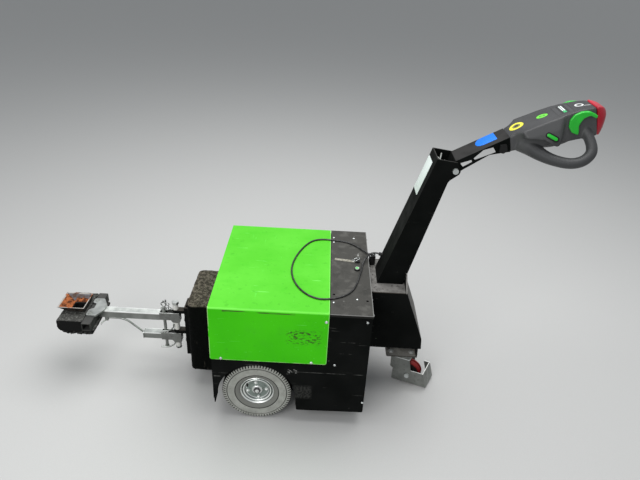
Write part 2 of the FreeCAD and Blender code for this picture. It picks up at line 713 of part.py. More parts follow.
def castor_base():
    """Horizontal plate that takes the castor, with two webs up into the bracket."""
    rear = BODY_LENGTH + BRACKET_REACH - BRACKET_PLATE
    x0 = rear - CASTOR_PLATE_LENGTH
    z1 = CASTOR_PLATE_TOP
    base = plate("xy", [(x0, -CASTOR_HALF_WIDTH, 8), (rear, -CASTOR_HALF_WIDTH, 0),
                        (rear, CASTOR_HALF_WIDTH, 0), (x0, CASTOR_HALF_WIDTH, 8)],
                 z1 - 6, z1)
    under = BRACKET_TOP - BRACKET_PLATE
    profile = [(x0 + 10, z1, 0), (rear, z1, 0), (rear - 4, 289, 20),
               (COLUMN_FOOT_REAR + 12 - BRACKET_PLATE, under, 0), (x0 + 10, under, 0)]
    webs = [plate("xz", profile, y - 3, y + 3) for y in (-24, 24)]
    front = block(x0 + 10, x0 + 16, -40, 40, z1, under)
    return union(base, front, *webs).cut(bracket_rear())


def column_front_x(z):
    return COLUMN_FOOT_FRONT + COLUMN_LEAN * (z - BRACKET_TOP)


def column_rear_x(z):
    return COLUMN_FOOT_REAR + COLUMN_REAR_LEAN * (z - BRACKET_TOP)


def column_outer():
    half = COLUMN_HALF_WIDTH
    slot = COLUMN_REAR_TOP
    corners = [(column_front_x(BRACKET_TOP), BRACKET_TOP, 0),
               (column_rear_x(BRACKET_TOP), BRACKET_TOP, 0),
               (column_rear_x(slot), slot, 30), (PIVOT_X + EAR_RADIUS, PIVOT_Z - 6, EAR_RADIUS - 4),
               (PIVOT_X + 4, 994, 6), (column_front_x(COLUMN_TOP), COLUMN_TOP, 0)]
    return plate("xz", corners, -half, half)


def column():
    """Leaning box column, open at the top, with two ears for the tiller pivot."""
    half = COLUMN_HALF_WIDTH
    slot = COLUMN_REAR_TOP
    wall = COLUMN_WALL
    inside = [(column_front_x(400) + wall, 400, 0), (column_rear_x(400) - wall, 400, 0),
              (column_rear_x(slot - 20) - wall, slot - 20, 0), (900, slot - 20, 0),
              (900, 1100, 0), (column_front_x(1100) + wall, 1100, 0)]
    inner = plate("xz", inside, -half + wall, half - wall)
    bore = rod(V(PIVOT_X, -half - 1, PIVOT_Z), ACROSS, PIVOT_BOLT, 2 * half + 2)
    return column_outer().cut(inner).cut(bore)


def pivot_bolt():
    half = COLUMN_HALF_WIDTH
    shank = rod(V(PIVOT_X, -half, PIVOT_Z), ACROSS, PIVOT_BOLT, 2 * half)
    heads = [rod(V(PIVOT_X, -half - 7, PIVOT_Z), ACROSS, 20, 7),
             rod(V(PIVOT_X, half, PIVOT_Z), ACROSS, 20, 7)]
    return union(shank, *heads)


# ---------------------------------------------------------------- castor

def turned(shape):
    """Turn a castor piece, drawn trailing along +X, to its resting angle."""
    shape = shape.copy()
    shape.rotate(V(CASTOR_X, 0, 0), UP, CASTOR_TURN)
    return shape


def castor_plate():
    top = CASTOR_PLATE_TOP - 6
    flange = plate("xy", rounded([(CASTOR_X - 52, -67), (CASTOR_X + 52, -67),
                                  (CASTOR_X + 52, 67), (CASTOR_X - 52, 67)], 8), top - 5, top)
    race = rod(V(CASTOR_X, 0, FORK_CROWN_TOP + 1), UP, 62, top - 5 - FORK_CROWN_TOP - 1)
    kingpin = rod(V(CASTOR_X, 0, FORK_CROWN_TOP - 14), UP, 14, 20)
    return union(flange, race, kingpin)


def castor_fork():
    outer = FORK_INSIDE + FORK_PLATE
    axle_x = CASTOR_X + CASTOR_TRAIL
    axle_z = CASTOR_WHEEL_DIAMETER / 2
    crown = plate("xy", [(CASTOR_X - 26, -outer, 8), (axle_x + 6, -outer, 8),
                         (axle_x + 6, outer, 8), (CASTOR_X - 26, outer, 8)],
                  FORK_CROWN_TOP - FORK_PLATE, FORK_CROWN_TOP)
    leg = plate("xz", [(CASTOR_X - 20, FORK_CROWN_TOP, 0), (axle_x + 2, FORK_CROWN_TOP, 0),
                       (axle_x + 13, axle_z + 24, 8), (axle_x + 15, axle_z - 17, 14),
                       (axle_x - 15, axle_z - 17, 10), (CASTOR_X - 19, axle_z + 26, 8)],
                -outer, -FORK_INSIDE)
    fork = union(crown, leg, mirror(leg))
    fork = fork.cut(rod(V(CASTOR_X, 0, 0), UP, 16, 300))
    return fork.cut(rod(V(axle_x, -60, axle_z), ACROSS, 12, 120))


def foot_guard():
    """Bent foot guard: a side wall on the fork, a leaning end wall and a short return."""
    outer = FORK_INSIDE
    inner = outer - GUARD_SHEET
    x0 = CASTOR_X - 8
    foot = CASTOR_X + GUARD_REACH
    top = foot - GUARD_SLOPE
    low, high = GUARD_BOTTOM, GUARD_TOP
    side = plate("xz", [(x0, low, 6), (foot, low, 0), (top, high, 0), (x0, high, 6)],
                 -outer, -inner)
    ends = []
    for y, skew in ((-outer, 0), (GUARD_FAR_SIDE, GUARD_SKEW)):
        corners = [V(foot + skew - GUARD_SHEET, y, low), V(foot + skew, y, low),
                   V(top + skew, y, high), V(top + skew - GUARD_SHEET, y, high)]
        ends.append(Part.makePolygon(corners + corners[:1]))
    end_wall = Part.makeLoft(ends, True, True)
    back = plate("xz", [(foot + GUARD_SKEW - 26, low, 0), (foot + GUARD_SKEW, low, 0),
                        (top + GUARD_SKEW, high, 0), (top + GUARD_SKEW - 26, high, 0)],
                 GUARD_FAR_SIDE - GUARD_SHEET, GUARD_FAR_SIDE)
    axle = rod(V(CASTOR_X + CASTOR_TRAIL, -60, CASTOR_WHEEL_DIAMETER / 2), ACROSS, 12, 120)
    return union(side, end_wall, back).cut(axle)


def castor_axle():
    axle_x = CASTOR_X + CASTOR_TRAIL
    axle_z = CASTOR_WHEEL_DIAMETER / 2
    outer = FORK_INSIDE + FORK_PLATE
    shank = rod(V(axle_x, -outer, axle_z), ACROSS, 12, 2 * outer)
    heads = [rod(V(axle_x, -outer - 7, axle_z), ACROSS, 19, 7),
             rod(V(axle_x, outer, axle_z), ACROSS, 19, 7)]
    return union(shank, *heads)


def castor_disc(outer, inner, width):
    axle_x = CASTOR_X + CASTOR_TRAIL
    axle_z = CASTOR_WHEEL_DIAMETER / 2
    return ring(V(axle_x, -width / 2, axle_z), ACROSS, outer, inner, width)


def castor_tread():
    """Elastic tread ring with bevelled shoulders and a groove round its middle."""
    outer = CASTOR_WHEEL_DIAMETER / 2
    half = CASTOR_WHEEL_WIDTH / 2
    corners = [(outer - 10, -half), (outer - 5, -half), (outer, -half + 6), (outer, -3),
               (outer - 4, -3), (outer - 4, 3), (outer, 3), (outer, half - 6),
               (outer - 5, half), (outer - 10, half)]
    axle = V(CASTOR_X + CASTOR_TRAIL, 0, outer)
    face = Part.Face(outline("xy", [(axle.x + radius, offset, 0)
                                    for radius, offset in corners], outer))
    return face.revolve(axle, ACROSS, 360)


# ---------------------------------------------------------------- tiller

def tiller_arm():
    """Open beam between the pivot and the control head."""
    half = ARM_HALF_WIDTH
    corners = [(811, 996, 3), (972.5, 1088, 0), (985, 1039, 0), (918, 1024, 20),
               (838, 966, 4), (PIVOT_X + 8, PIVOT_Z - 14, 10), (PIVOT_X - 14, PIVOT_Z - 8, 10)]
    beam = plate("xz", corners, -half, half)
    inner = half - 4
    core = plate("xz", [(832, 1002, 4), (962, 1076, 4), (972, 1020, 0), (940, 960, 0),
                        (832, 940, 0)], -inner, inner)
    windows = []
    for corners in ([(826, 989), (838, 976), (866, 995), (862, 1003)],
                    [(868, 1009), (874, 1003), (938, 1034), (926, 1051), (896, 1040)]):
        windows.append(plate("xz", rounded(corners, 2), -half - 1, half + 1))
    bore = rod(V(PIVOT_X, -half - 1, PIVOT_Z), ACROSS, PIVOT_BOLT + RUNNING_FIT, 2 * half + 2)
    return beam.cut(core).cut(windows[0]).cut(windows[1]).cut(bore)


def arm_switch_box():
    """Small moulded box on the right flank of the arm, next to the head."""
    box = plate("xz", [(946, 1036, 3), (962, 1034, 3), (972, 1046, 3), (966, 1066, 3),
                       (946, 1062, 3)], -ARM_HALF_WIDTH - 9, -ARM_HALF_WIDTH)
    return box


def in_head(s, y, n):
    """A point of the control head: s along it, y across, n above its axis."""
    tilt = math.radians(HEAD_TILT)
    return V(983 + s * math.cos(tilt) - n * math.sin(tilt), y,
             1052 + s * math.sin(tilt) + n * math.cos(tilt))


def on_head(shape):
    """Move a shape drawn along the head's own axes to its place on the arm."""
    shape = shape.copy()
    shape.rotate(V(0, 0, 0), ACROSS, -HEAD_TILT)
    shape.translate(V(983, 0, 1052))
    return shape


def head_side(corners):
    """Side outline corners (s, n, radius) of the head as corners in space."""
    spots = [(in_head(s, 0, n), radius) for s, n, radius in corners]
    return [(spot.x, spot.z, radius) for spot, radius in spots]


def both_sides(corners):
    """A plan outline (s, y, radius) that is the same on both sides of the head."""
    return corners + [(s, -y, radius) for s, y, radius in reversed(corners)]


def tiller_head():
    """Moulded head: an arched body with a wing that droops from each of its edges."""
    wide = WING_HALF_WIDTH
    end = HEAD_LENGTH
    joint_top, joint_foot = (972.5, 1088, 0), (985, 1039, 0)
    arch = [(39, 49, 150), (125, 57, 200)]
    body = plate("xz", [joint_top] + head_side(arch + [
        (191, 60, 200), (244, 57, 150), (end, 48, 4), (end - 11, -45, 6), (148, -26, 60)])
        + [joint_foot], -120, 120)
    plan = plate("xy", both_sides([(-8, -46, 0), (22, -46, 6), (41, -60, 8), (182, -60, 20),
                                   (end + 1, -45, 14)]), -70, 90)
    wing = plate("xz", [joint_top] + head_side(arch + [
        (181, 59.5, 0), (181, 49, 3), (173, 28, 10), (145, -24, 5), (134, -27, 5),
        (100, 9, 20), (52, 27, 6), (3, 22, 0)]), -120, 120)
    spread = plate("xy", both_sides([(40, -60, 6), (54, -wide + 2, 8), (100, -wide, 40),
                                     (147, -wide + 3, 8), (182, -58, 6)]), -70, 90)
    half_section = [(-wide - 3, -40, 0), (-wide - 3, -27, 0), (-wide + 10, 28, 20),
                    (-62, 62, 8)]
    section = plate("yz", half_section + [(-y, n, radius) for y, n, radius
                                          in reversed(half_section)], -30, 320)
    body = body.common(on_head(plan))
    wings = wing.common(on_head(spread)).common(on_head(section))
    return union(body, wings)


def grip_route(side):
    droop = math.radians(GRIP_DROOP)
    stations = [(51, 7), (76, 50), (108, 83), (159, 116), (200, 121), (232, 105), (241, 83),
                (242, 50), (239, 7)]
    return [in_head(s, side * (28 + t * math.cos(droop)), -t * math.sin(droop))
            for s, t in stations]


def grip_loop(side, head):
    """Round grip bar that leaves the head in a thick root and comes back at the lever."""
    route = grip_route(side)
    bar, _, _ = round_bar(route, GRIP_DIAMETER)
    along = route[1] - route[0]
    root = Part.makeCone(GRIP_DIAMETER / 2 + 14, GRIP_DIAMETER / 2 - 0.5, along.Length * 1.15,
                         route[0], along)
    return union(bar, root).cut(head)


def thumb_lever(side, taken):
    """Crescent thumb paddle that stands out from the side of the head, on its hub."""
    paddle = head_side([(208, -15, 2), (190, -1, 14), (184, 21, 14), (191, 42, 14),
                        (208, 54, 16), (232, 57, 20), (256, 50, 30), (277, 30, 3),
                        (272, 21, 3), (254, 37, 14), (234, 34, 10), (216, 17, 10),
                        (212, -9, 3)])
    crescent = plate("xz", paddle, -LEVER_OUTER, -LEVER_OUTER + LEVER_WIDTH)
    centre = in_head(214, 0, 22)
    hub = rod(V(centre.x, -LEVER_OUTER + 5, centre.z), ACROSS, 20, LEVER_WIDTH)
    lever = union(crescent, hub)
    if side > 0:
        lever = mirror(lever)
    return lever.cut(taken)


def belly_switch():
    """Push switch across the end of the head, domed both along and across."""
    half = 46
    end = HEAD_LENGTH
    dome = plate("xz", head_side([(end, 46, 0), (290, 50, 3), (312, 39, 16), (322, 4, 30),
                                  (317, -32, 12), (290, -52, 8), (end - 12, -47, 0)]),
                 -60, 60)
    corner_left, corner_right = V(end, -half, -70), V(end, half, -70)
    bow = Part.Arc(corner_left, V(end + SWITCH_BULGE, 0, -70), corner_right).toShape()
    back = Part.makePolygon([corner_right, V(end - 30, half, -70), V(end - 30, -half, -70),
                             corner_left])
    shell = Part.Face(Part.Wire([bow] + back.Edges)).extrude(UP * 140)
    return dome.common(on_head(shell))


# ---------------------------------------------------------------- panel and cable

SOCKET = V(581, 82, 529.5)
SOCKET_AXIS = V(-0.634, 0.773, 0).normalize()
GLAND_SEAT = V(593 + COLUMN_LEAN * 65, 46, 562)
GLAND_AXIS = (V(587, 57, 563) - GLAND_SEAT).normalize()


def power_button():
    base = rod(V(518, -10, TOP_HEIGHT), UP, 22, 5)
    cap = rod(V(518, -10, TOP_HEIGHT + 5), UP, 15, 4)
    return union(base, cap)


def key_switch():
    """Key lock with its key and the strap tag that lies beside it."""
    barrel = rod(V(521, 47, TOP_HEIGHT), UP, 20, 6)
    key = plate("yz", rounded([(42, TOP_HEIGHT + 6), (52, TOP_HEIGHT + 6),
                               (58, TOP_HEIGHT + 34), (36, TOP_HEIGHT + 34)], 3), 520, 522)
    tag = plate("xy", rounded([(432, 53), (513, 40), (515, 54), (434, 67)], 3), TOP_HEIGHT,
                TOP_HEIGHT + 1.5)
    return union(barrel, key, tag)


def cable_socket():
    body = rod(V(SOCKET.x, SOCKET.y, BRACKET_TOP), UP, 26, SOCKET.z + 9 - BRACKET_TOP)
    nose = rod(SOCKET, SOCKET_AXIS, 12, 19)
    lever = block(SOCKET.x - 5, SOCKET.x + 5, SOCKET.y - 20, SOCKET.y + 11, SOCKET.z + 9,
                  SOCKET.z + 12)
    return union(body, nose, lever)


def column_gland():
    gland = rod(GLAND_SEAT - GLAND_AXIS * 3, GLAND_AXIS, 14, 15)
    return gland.cut(column_outer())


def cable_route():
    rest = TOP_HEIGHT + CABLE_DIAMETER / 2 + CABLE_REST
    start = GLAND_SEAT + GLAND_AXIS * 12
    lying = [(545, 42, 531), (538, 17, rest + 1), (535, -16, rest), (525, -57, rest),
             (517, -98, rest), (506, -138, rest), (487, -174, rest), (456, -200, rest),
             (417, -216, rest), (375, -220, rest), (333, -196, rest), (298, -150, rest),
             (276, -92, rest), (268, -30, rest), (275, 34, rest), (291, 94, rest),
             (315, 152, rest), (344, 193, rest), (384, 207, rest), (430, 202, rest),
             (472, 197, rest), (508, 176, rest), (533, 148, rest + 1)]
    route = [start, V(587, 57, 563), V(572, 63, 554), V(557, 58, 541)]
    plug = [SOCKET + SOCKET_AXIS * 48, SOCKET + SOCKET_AXIS * 19]
    return route + [V(*point) for point in lying] + plug


def control_cable():
    route = cable_route()
    cable, path, radii = round_bar(route, CABLE_DIAMETER)
    section = math.pi * CABLE_DIAMETER ** 2 / 4
    print("cable length", round(path.Length, 1), "volume / (section x length)",
          round(cable.Volume / (section * path.Length), 4))
    print("cable radii", [round(radius) for radius in radii])
    return cable


# ---------------------------------------------------------------- assembly

keep("side_plate_right", side_plate())
keep("side_plate_left", mirror(side_plate()))
keep("hood", hood())
keep("top_panel", top_panel())
keep("front_wall", end_plate(FRAME_PLATE, 100, TOP_HEIGHT - HOOD_SHEET))
keep("rear_wall", end_plate(REAR_WALL_X, SKIRT_BOTTOM + 6, TOP_HEIGHT - PANEL_SHEET))
keep("belly_plate", floor_plate())
keep("frame_rail_right", frame_rail(-1))
keep("frame_rail_left", frame_rail(1))
keep("battery_pack", battery_pack())
keep("transaxle", transaxle())
keep("drive_motor", drive_motor())
for side, name in ((-1, "right"), (1, "left")):
    keep("tyre_" + name, tyre(side))
    keep("rim_" + name, rim(side))

keep("ballast_box", ballast_box())
keep("hitch_bracket", hitch_bracket())
keep("hinge_pin", hinge_pin())
keep("upper_knuckle", knuckle(UPPER_KNUCKLE_TOP))
keep("lower_knuckle", knuckle(LOWER_KNUCKLE_TOP))
keep("main_tube", main_tube())
keep("lower_tube", lower_tube())
keep("latch_pin", latch_pin())
keep("hinge_sleeves", hinge_sleeves())
keep("release_rods", release_rods())
keep("brace_rod", brace_rod())
keep("cross_tube", cross_tube())
keep("jaw_plate", head_plate())
keep("rubber_pad", rubber_pad())
keep("catch_funnel", catch_funnel())

keep("bracket_cheek_right", bracket_side(-1))
keep("bracket_cheek_left", bracket_side(1))
keep("bracket_back", bracket_back())
keep("bracket_top", bracket_top())
keep("bracket_rear", bracket_rear())
keep("castor_base", castor_base())
keep("column", column())
keep("pivot_bolt", pivot_bolt())

keep("castor_plate", castor_plate())
keep("castor_fork", turned(castor_fork()))
keep("foot_guard", turned(foot_guard()))
keep("castor_axle", turned(castor_axle()))
keep("castor_core", turned(castor_disc(CASTOR_WHEEL_DIAMETER - 20, 12.4, CASTOR_WHEEL_WIDTH)))
keep("castor_tread", turned(castor_tread()))

head = tiller_head()
keep("tiller_arm", tiller_arm())
keep("arm_switch_box", arm_switch_box())
keep("tiller_head", head)
for side, name in ((-1, "right"), (1, "left")):
    loop = grip_loop(side, head)
    keep("grip_loop_" + name, loop)
    keep("thumb_lever_" + name, thumb_lever(side, union(head, loop)))
keep("belly_switch", belly_switch().cut(head))

keep("power_button", power_button())
keep("key_switch", key_switch())
keep("cable_socket", cable_socket())
keep("column_gland", column_gland())
keep("control_cable", control_cable())

os.makedirs("parts", exist_ok=True)
box = FreeCAD.BoundBox()
for name, shape in pieces.items():
    if not shape.isValid() or not shape.Solids:
        print("bad shape", name)
    shape.exportStep("parts/" + name + ".step")
    box.add(shape.BoundBox)
print(len(pieces), "pieces", "box", [round(value, 1) for value in (
    box.XMin, box.XMax, box.YMin, box.YMax, box.ZMin, box.ZMax)])
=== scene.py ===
# %% [markdown]
# # The looks of an electric tow tug
# The frame comes from CAD: every plate, tube and wheel already has its true size and place.
# This notebook gives those parts their finishes and adds what the CAD solids leave out or
# show only plainly, such as tyre lugs, moulded plastic and screws. We start by loading the
# frame.

# %% Load the frame
import bpy
import bmesh
import math
from mathutils import Matrix, Vector, noise


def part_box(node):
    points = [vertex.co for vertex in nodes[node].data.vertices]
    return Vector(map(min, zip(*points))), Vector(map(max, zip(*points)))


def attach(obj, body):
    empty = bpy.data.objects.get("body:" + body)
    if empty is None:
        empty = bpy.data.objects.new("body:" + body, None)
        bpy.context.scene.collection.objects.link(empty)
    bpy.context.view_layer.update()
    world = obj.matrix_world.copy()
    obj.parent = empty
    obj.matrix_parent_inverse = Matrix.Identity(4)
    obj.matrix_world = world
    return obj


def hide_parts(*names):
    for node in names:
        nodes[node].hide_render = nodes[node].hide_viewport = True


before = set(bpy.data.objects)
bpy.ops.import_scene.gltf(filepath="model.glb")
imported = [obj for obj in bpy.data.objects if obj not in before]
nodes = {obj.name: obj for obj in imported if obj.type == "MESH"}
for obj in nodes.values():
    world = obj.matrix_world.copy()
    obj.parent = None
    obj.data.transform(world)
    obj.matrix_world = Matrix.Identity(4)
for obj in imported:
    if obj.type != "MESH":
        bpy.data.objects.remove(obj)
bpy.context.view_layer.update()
SIDES = ((-1, "right"), (1, "left"))


def new_object(name, data):
    """Put a mesh, curve, lamp or camera into the scene as an object."""
    thing = bpy.data.objects.new(name, data)
    bpy.context.scene.collection.objects.link(thing)
    return thing


def both(name):
    """The names of the right-hand and the left-hand part."""
    return [name + "_right", name + "_left"]


# %% [markdown]
# ## Camera
# The camera stands in front of the right-hand side, well above the tiller, and looks down at
# the tug. We build its turn from three angles: yaw, pitch and roll. The small roll tips the
# horizon, as happens when a camera is held by hand.

# %% Place the camera
def aim_camera(place, yaw, pitch, roll, lens):
    """A camera at a place, turned by three angles in degrees."""
    yaw, pitch, roll = (math.radians(angle) for angle in (yaw, pitch, roll))
    ahead = Vector((math.sin(yaw) * math.cos(pitch), math.cos(yaw) * math.cos(pitch),
                    -math.sin(pitch)))
    right = Vector((math.cos(yaw), -math.sin(yaw), 0))
    up = right.cross(ahead)
    right, up = (right * math.cos(roll) + up * math.sin(roll),
                 up * math.cos(roll) - right * math.sin(roll))
    turn = Matrix((right, up, -ahead)).transposed().to_4x4()
    camera = new_object("camera", bpy.data.cameras.new("camera"))
    camera.data.lens = lens
    camera.matrix_world = Matrix.Translation(place) @ turn
    bpy.context.scene.camera = camera
    return camera


camera = aim_camera(place=(0.042, -1.8663, 1.698), yaw=0.26, pitch=29.59, roll=3.17, lens=32.39)
print("camera at", [round(v, 3) for v in camera.location])

# %% [markdown]
# ## Wiring finishes
# All finishes here are worked out from the object's own coordinates and from the way a
# surface faces, so they need no image. A finish has one tone, and each mark on it, such as
# dust or a scratch, is a colour laid over the tone by an amount from 0 to 1. That amount is
# often a noise times a place. The methods below keep the wiring short: most of them add one
# node, join it up and hand back its output, so that calls can be nested. The last two hand
# back the finish.

# %% A class for finishes
class Finish:
    """A material with one Principled shader, and the tone that is laid on so far."""

    def __init__(self, name, roughness, metallic=0.0, gloss=0.5):
        self.material = bpy.data.materials.new(name)
        self.material.use_nodes = True
        self.shader = self.material.node_tree.nodes["Principled BSDF"].inputs
        self.shader["Roughness"].default_value = roughness
        self.shader["Metallic"].default_value = metallic
        self.shader["Specular IOR Level"].default_value = gloss
        self.tone = None

    def feed(self, socket, value):
        """Join an output to a socket, or write a plain value into it."""
        if isinstance(value, bpy.types.NodeSocket):
            self.material.node_tree.links.new(value, socket)
        elif isinstance(value, (tuple, list)) and len(value) == 3 and socket.type == "RGBA":
            socket.default_value = (*value, 1)
        else:
            socket.default_value = value

    def node(self, kind, inputs, output=0, **settings):
        """Add a shader node, set it up, feed its inputs and hand back one output."""
        node = self.material.node_tree.nodes.new("ShaderNode" + kind)
        for name, value in settings.items():
            setattr(node, name, value)
        for name, value in inputs.items():
            self.feed(node.inputs[name], value)
        return node.outputs[output]

    def place(self):
        """The object coordinates of the point being shaded."""
        return self.node("TexCoord", {}, "Object")

    def along(self, letter):
        """One object coordinate, in metres."""
        return self.node("SeparateXYZ", {0: self.place()}, letter)

    def facing(self, letter):
        """How much the surface faces along one axis, from -1 to 1."""
        return self.node("SeparateXYZ", {0: self.node("NewGeometry", {}, "Normal")}, letter)

    def between(self, value, low, high):
        """Stretch a value so that low becomes 0 and high becomes 1, and cut off the rest."""
        return self.node("MapRange", {"Value": value, "From Min": low, "From Max": high},
                         "Result", interpolation_type="SMOOTHSTEP")

    def toward(self, letter, low, high):
        """How much the surface faces along one axis, stretched between two levels."""
        return self.between(self.facing(letter), low, high)

    def mottle(self, scale, low, high, detail=4.0, stretch=(1, 1, 1)):
        """Noise patches: 0 below one level of the noise and 1 above another."""
        spot = self.node("Mapping", {"Scale": stretch, "Vector": self.place()})
        patches = self.node("TexNoise", {"Scale": scale, "Detail": detail, "Vector": spot}, "Fac")
        return self.between(patches, low, high)

    def maths(self, operation, a, b=0.0):
        """One operation on two values; ABSOLUTE and SQRT use only the first."""
        return self.node("Math", {0: a, 1: b}, operation=operation)

    def times(self, first, *others):
        """The product of some values."""
        for other in others:
            first = self.maths("MULTIPLY", first, other)
        return first

    def band(self, value, low, high, soft=0.0006):
        """1 between two values and 0 outside them, with soft ends."""
        return self.times(self.between(value, low - soft, low + soft),
                          self.between(value, high + soft, high - soft))

    def box(self, low, high, soft):
        """1 inside a box of the object's coordinates and 0 outside, with a soft edge."""
        return self.times(*(self.band(self.along(letter), a, b, soft)
                            for letter, a, b in zip("XYZ", low, high)))

    def mix(self, amount, base, over):
        """Lay one colour over another by an amount from 0 to 1."""
        return self.node("Mix", {0: amount, 6: base, 7: over}, 2, data_type="RGBA")

    def lay(self, colour, *amounts):
        """Lay a colour over the tone by the product of some amounts."""
        self.tone = self.mix(self.times(*amounts), self.tone, colour)

    def paint(self, roughness=None, metallic=None):
        """Wire the tone and, where they vary, the roughness and metalness to the shader."""
        self.feed(self.shader["Base Color"], self.tone)
        for name, value in (("Roughness", roughness), ("Metallic", metallic)):
            if value is not None:
                self.feed(self.shader[name], value)
        return self

    def relief(self, strength, distance, *patches):
        """Give the surface small bumps from a mottle."""
        bumps = self.node("Bump", {"Strength": strength, "Distance": distance,
                                   "Height": self.mottle(*patches)})
        self.feed(self.shader["Normal"], bumps)
        return self


def shade(colour, factor):
    """A colour made lighter or darker by a factor."""
    return tuple(min(1, factor * part) for part in colour)


print("class ready")

# %% [markdown]
# ## The control cable
# The tiller's cable leaves a gland at the foot of the column, lies on the hood in a loose
# loop and goes into a socket on the panel. A real cable bends evenly, so its line is one
# smooth NURBS curve whose control points lie along the route. The curve replaces the CAD
# tube.

# %% Lay the cable
CABLE_ROUTE = [
    (0.28176, 0.0507, 0.56243), (0.267, 0.057, 0.563), (0.252, 0.063, 0.554),
    (0.237, 0.058, 0.541), (0.225, 0.042, 0.531), (0.218, 0.017, 0.5266),
    (0.215, -0.016, 0.5256), (0.205, -0.057, 0.5256), (0.197, -0.098, 0.5256),
    (0.186, -0.138, 0.5256), (0.167, -0.174, 0.5256), (0.136, -0.2, 0.5256),
    (0.097, -0.216, 0.5256), (0.055, -0.22, 0.5256), (0.013, -0.196, 0.5256),
    (-0.022, -0.15, 0.5256), (-0.044, -0.092, 0.5256), (-0.052, -0.03, 0.5256),
    (-0.045, 0.034, 0.5256), (-0.029, 0.094, 0.5256), (-0.005, 0.152, 0.5256),
    (0.024, 0.193, 0.5256), (0.064, 0.207, 0.5256), (0.11, 0.202, 0.5256),
    (0.152, 0.197, 0.5256), (0.188, 0.176, 0.5256), (0.213, 0.148, 0.5266),
    (0.23056, 0.11911, 0.5295), (0.24895, 0.09669, 0.5295)]


def nurbs_curve(name, route, radii, depth, sides):
    """A round curve on a smooth line; its radius is the depth times each point's radius."""
    curve = bpy.data.curves.new(name, "CURVE")
    curve.dimensions = "3D"
    spline = curve.splines.new("NURBS")
    spline.points.add(len(route) - 1)
    for point, place, radius in zip(spline.points, route, radii):
        point.co = (*place, 1)
        point.radius = radius
    spline.order_u = 3
    spline.use_endpoint_u = True
    spline.resolution_u = 8
    curve.bevel_depth = depth
    curve.bevel_resolution = sides
    curve.use_fill_caps = True
    return curve


def lay_cord(name, route, diameter):
    """A round cord; its points carry its radius, so that its box is as thin as the cord."""
    radii = [diameter / 2] * len(route)
    return new_object(name, nurbs_curve(name, route, radii, depth=1, sides=6))


cable = lay_cord("cable_loop", CABLE_ROUTE, 0.0065)
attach(cable, "chassis")
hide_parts("control_cable")

rubber_sheath = Finish("rubber_sheath", 0.42)
rubber_sheath.tone = rubber_sheath.mix(rubber_sheath.mottle(60, 0.45, 0.7),
                                       (0.012, 0.012, 0.012), (0.045, 0.045, 0.043))
rubber_sheath.paint()
rubber_sheath.relief(0.15, 0.0004, 900, 0.3, 0.7)
cable.data.materials.append(rubber_sheath.material)
print("cable route points", len(CABLE_ROUTE))

# %% [markdown]
# ## Making pieces
# Every new piece is drawn in a bmesh with operators, then becomes one object that rides on a
# body. Small parts such as screws, rings and nuts are drawn one by one in a bmesh of their
# own and poured into a shared one, so that a row of screws is a single piece. A "stand" is a
# matrix that says where a part stands and which way its own axes point.

# %% Helpers for pieces
def aimed(place, direction=(0, 0, 1)):
    """A stand at a place whose Z axis points along a direction."""
    turn = Vector(direction).to_track_quat("Z", "Y")
    return Matrix.Translation(place) @ turn.to_matrix().to_4x4()


def framed(place, x_axis, z_axis):
    """A stand at a place with its X and Z axes along two unit directions at right angles."""
    axes = Matrix((x_axis, z_axis.cross(x_axis), z_axis))
    return Matrix.Translation(place) @ axes.transposed().to_4x4()


def pour(part, shape, stand=Matrix.Identity(4)):
    """Put a finished part on its stand and move it into a larger shape."""
    bmesh.ops.transform(part, matrix=stand, verts=part.verts)
    bmesh.ops.remove_doubles(part, verts=part.verts, dist=1e-6)
    bmesh.ops.recalc_face_normals(part, faces=part.faces)
    mesh = bpy.data.meshes.new("poured")
    part.to_mesh(mesh)
    part.free()
    shape.from_mesh(mesh)
    bpy.data.meshes.remove(mesh)


def spin(part, geometry, angle, steps, merge=False, copies=False):
    """Spin geometry about the Z axis, as one skin or as separate copies."""
    bmesh.ops.spin(part, geom=geometry, cent=(0, 0, 0), axis=(0, 0, 1), dvec=(0, 0, 0),
                   angle=angle, space=Matrix.Identity(4), steps=steps, use_merge=merge,
                   use_normal_flip=False, use_duplicate=copies)


def millimetres(pairs):
    """Pairs of numbers, given in millimetres, in metres."""
    return [(first / 1000, second / 1000) for first, second in pairs]


def add_turned(shape, outline, stand, steps, closed=False):
    """Spin an outline of (radius, height) about the Z axis of its stand."""
    part = bmesh.new()
    spots = [part.verts.new((radius, 0, height)) for radius, height in outline]
    ends = spots[1:] + spots[:1] if closed else spots[1:]
    edges = [part.edges.new(pair) for pair in zip(spots, ends)]
    spin(part, spots + edges, math.tau, steps, merge=True)
    pour(part, shape, stand)


def soften_edges(part, width, least=30):
    """Bevel every edge of a part that turns by more than an angle in degrees."""
    bmesh.ops.recalc_face_normals(part, faces=part.faces)
    sharp = [edge for edge in part.edges if edge.calc_face_angle(0) > math.radians(least)]
    bmesh.ops.bevel(part, geom=sharp, offset=width, offset_type="OFFSET", segments=2,
                    profile=0.5, affect="EDGES", material=-1, clamp_overlap=True)


def add_block(shape, size, stand, edge):
    """A block with softened edges, centred on its stand."""
    part = bmesh.new()
    bmesh.ops.create_cube(part, size=1)
    bmesh.ops.scale(part, verts=part.verts, vec=size)
    soften_edges(part, edge)
    pour(part, shape, stand)


def add_drum(shape, radius, height, stand, sides=24, edge=0.0005):
    """A round or many-sided drum that stands on its stand."""
    part = bmesh.new()
    bmesh.ops.create_cone(part, cap_ends=True, cap_tris=False, segments=sides,
                          radius1=radius, radius2=radius, depth=height)
    bmesh.ops.translate(part, verts=part.verts, vec=(0, 0, height / 2))
    soften_edges(part, edge, 50)
    pour(part, shape, stand)


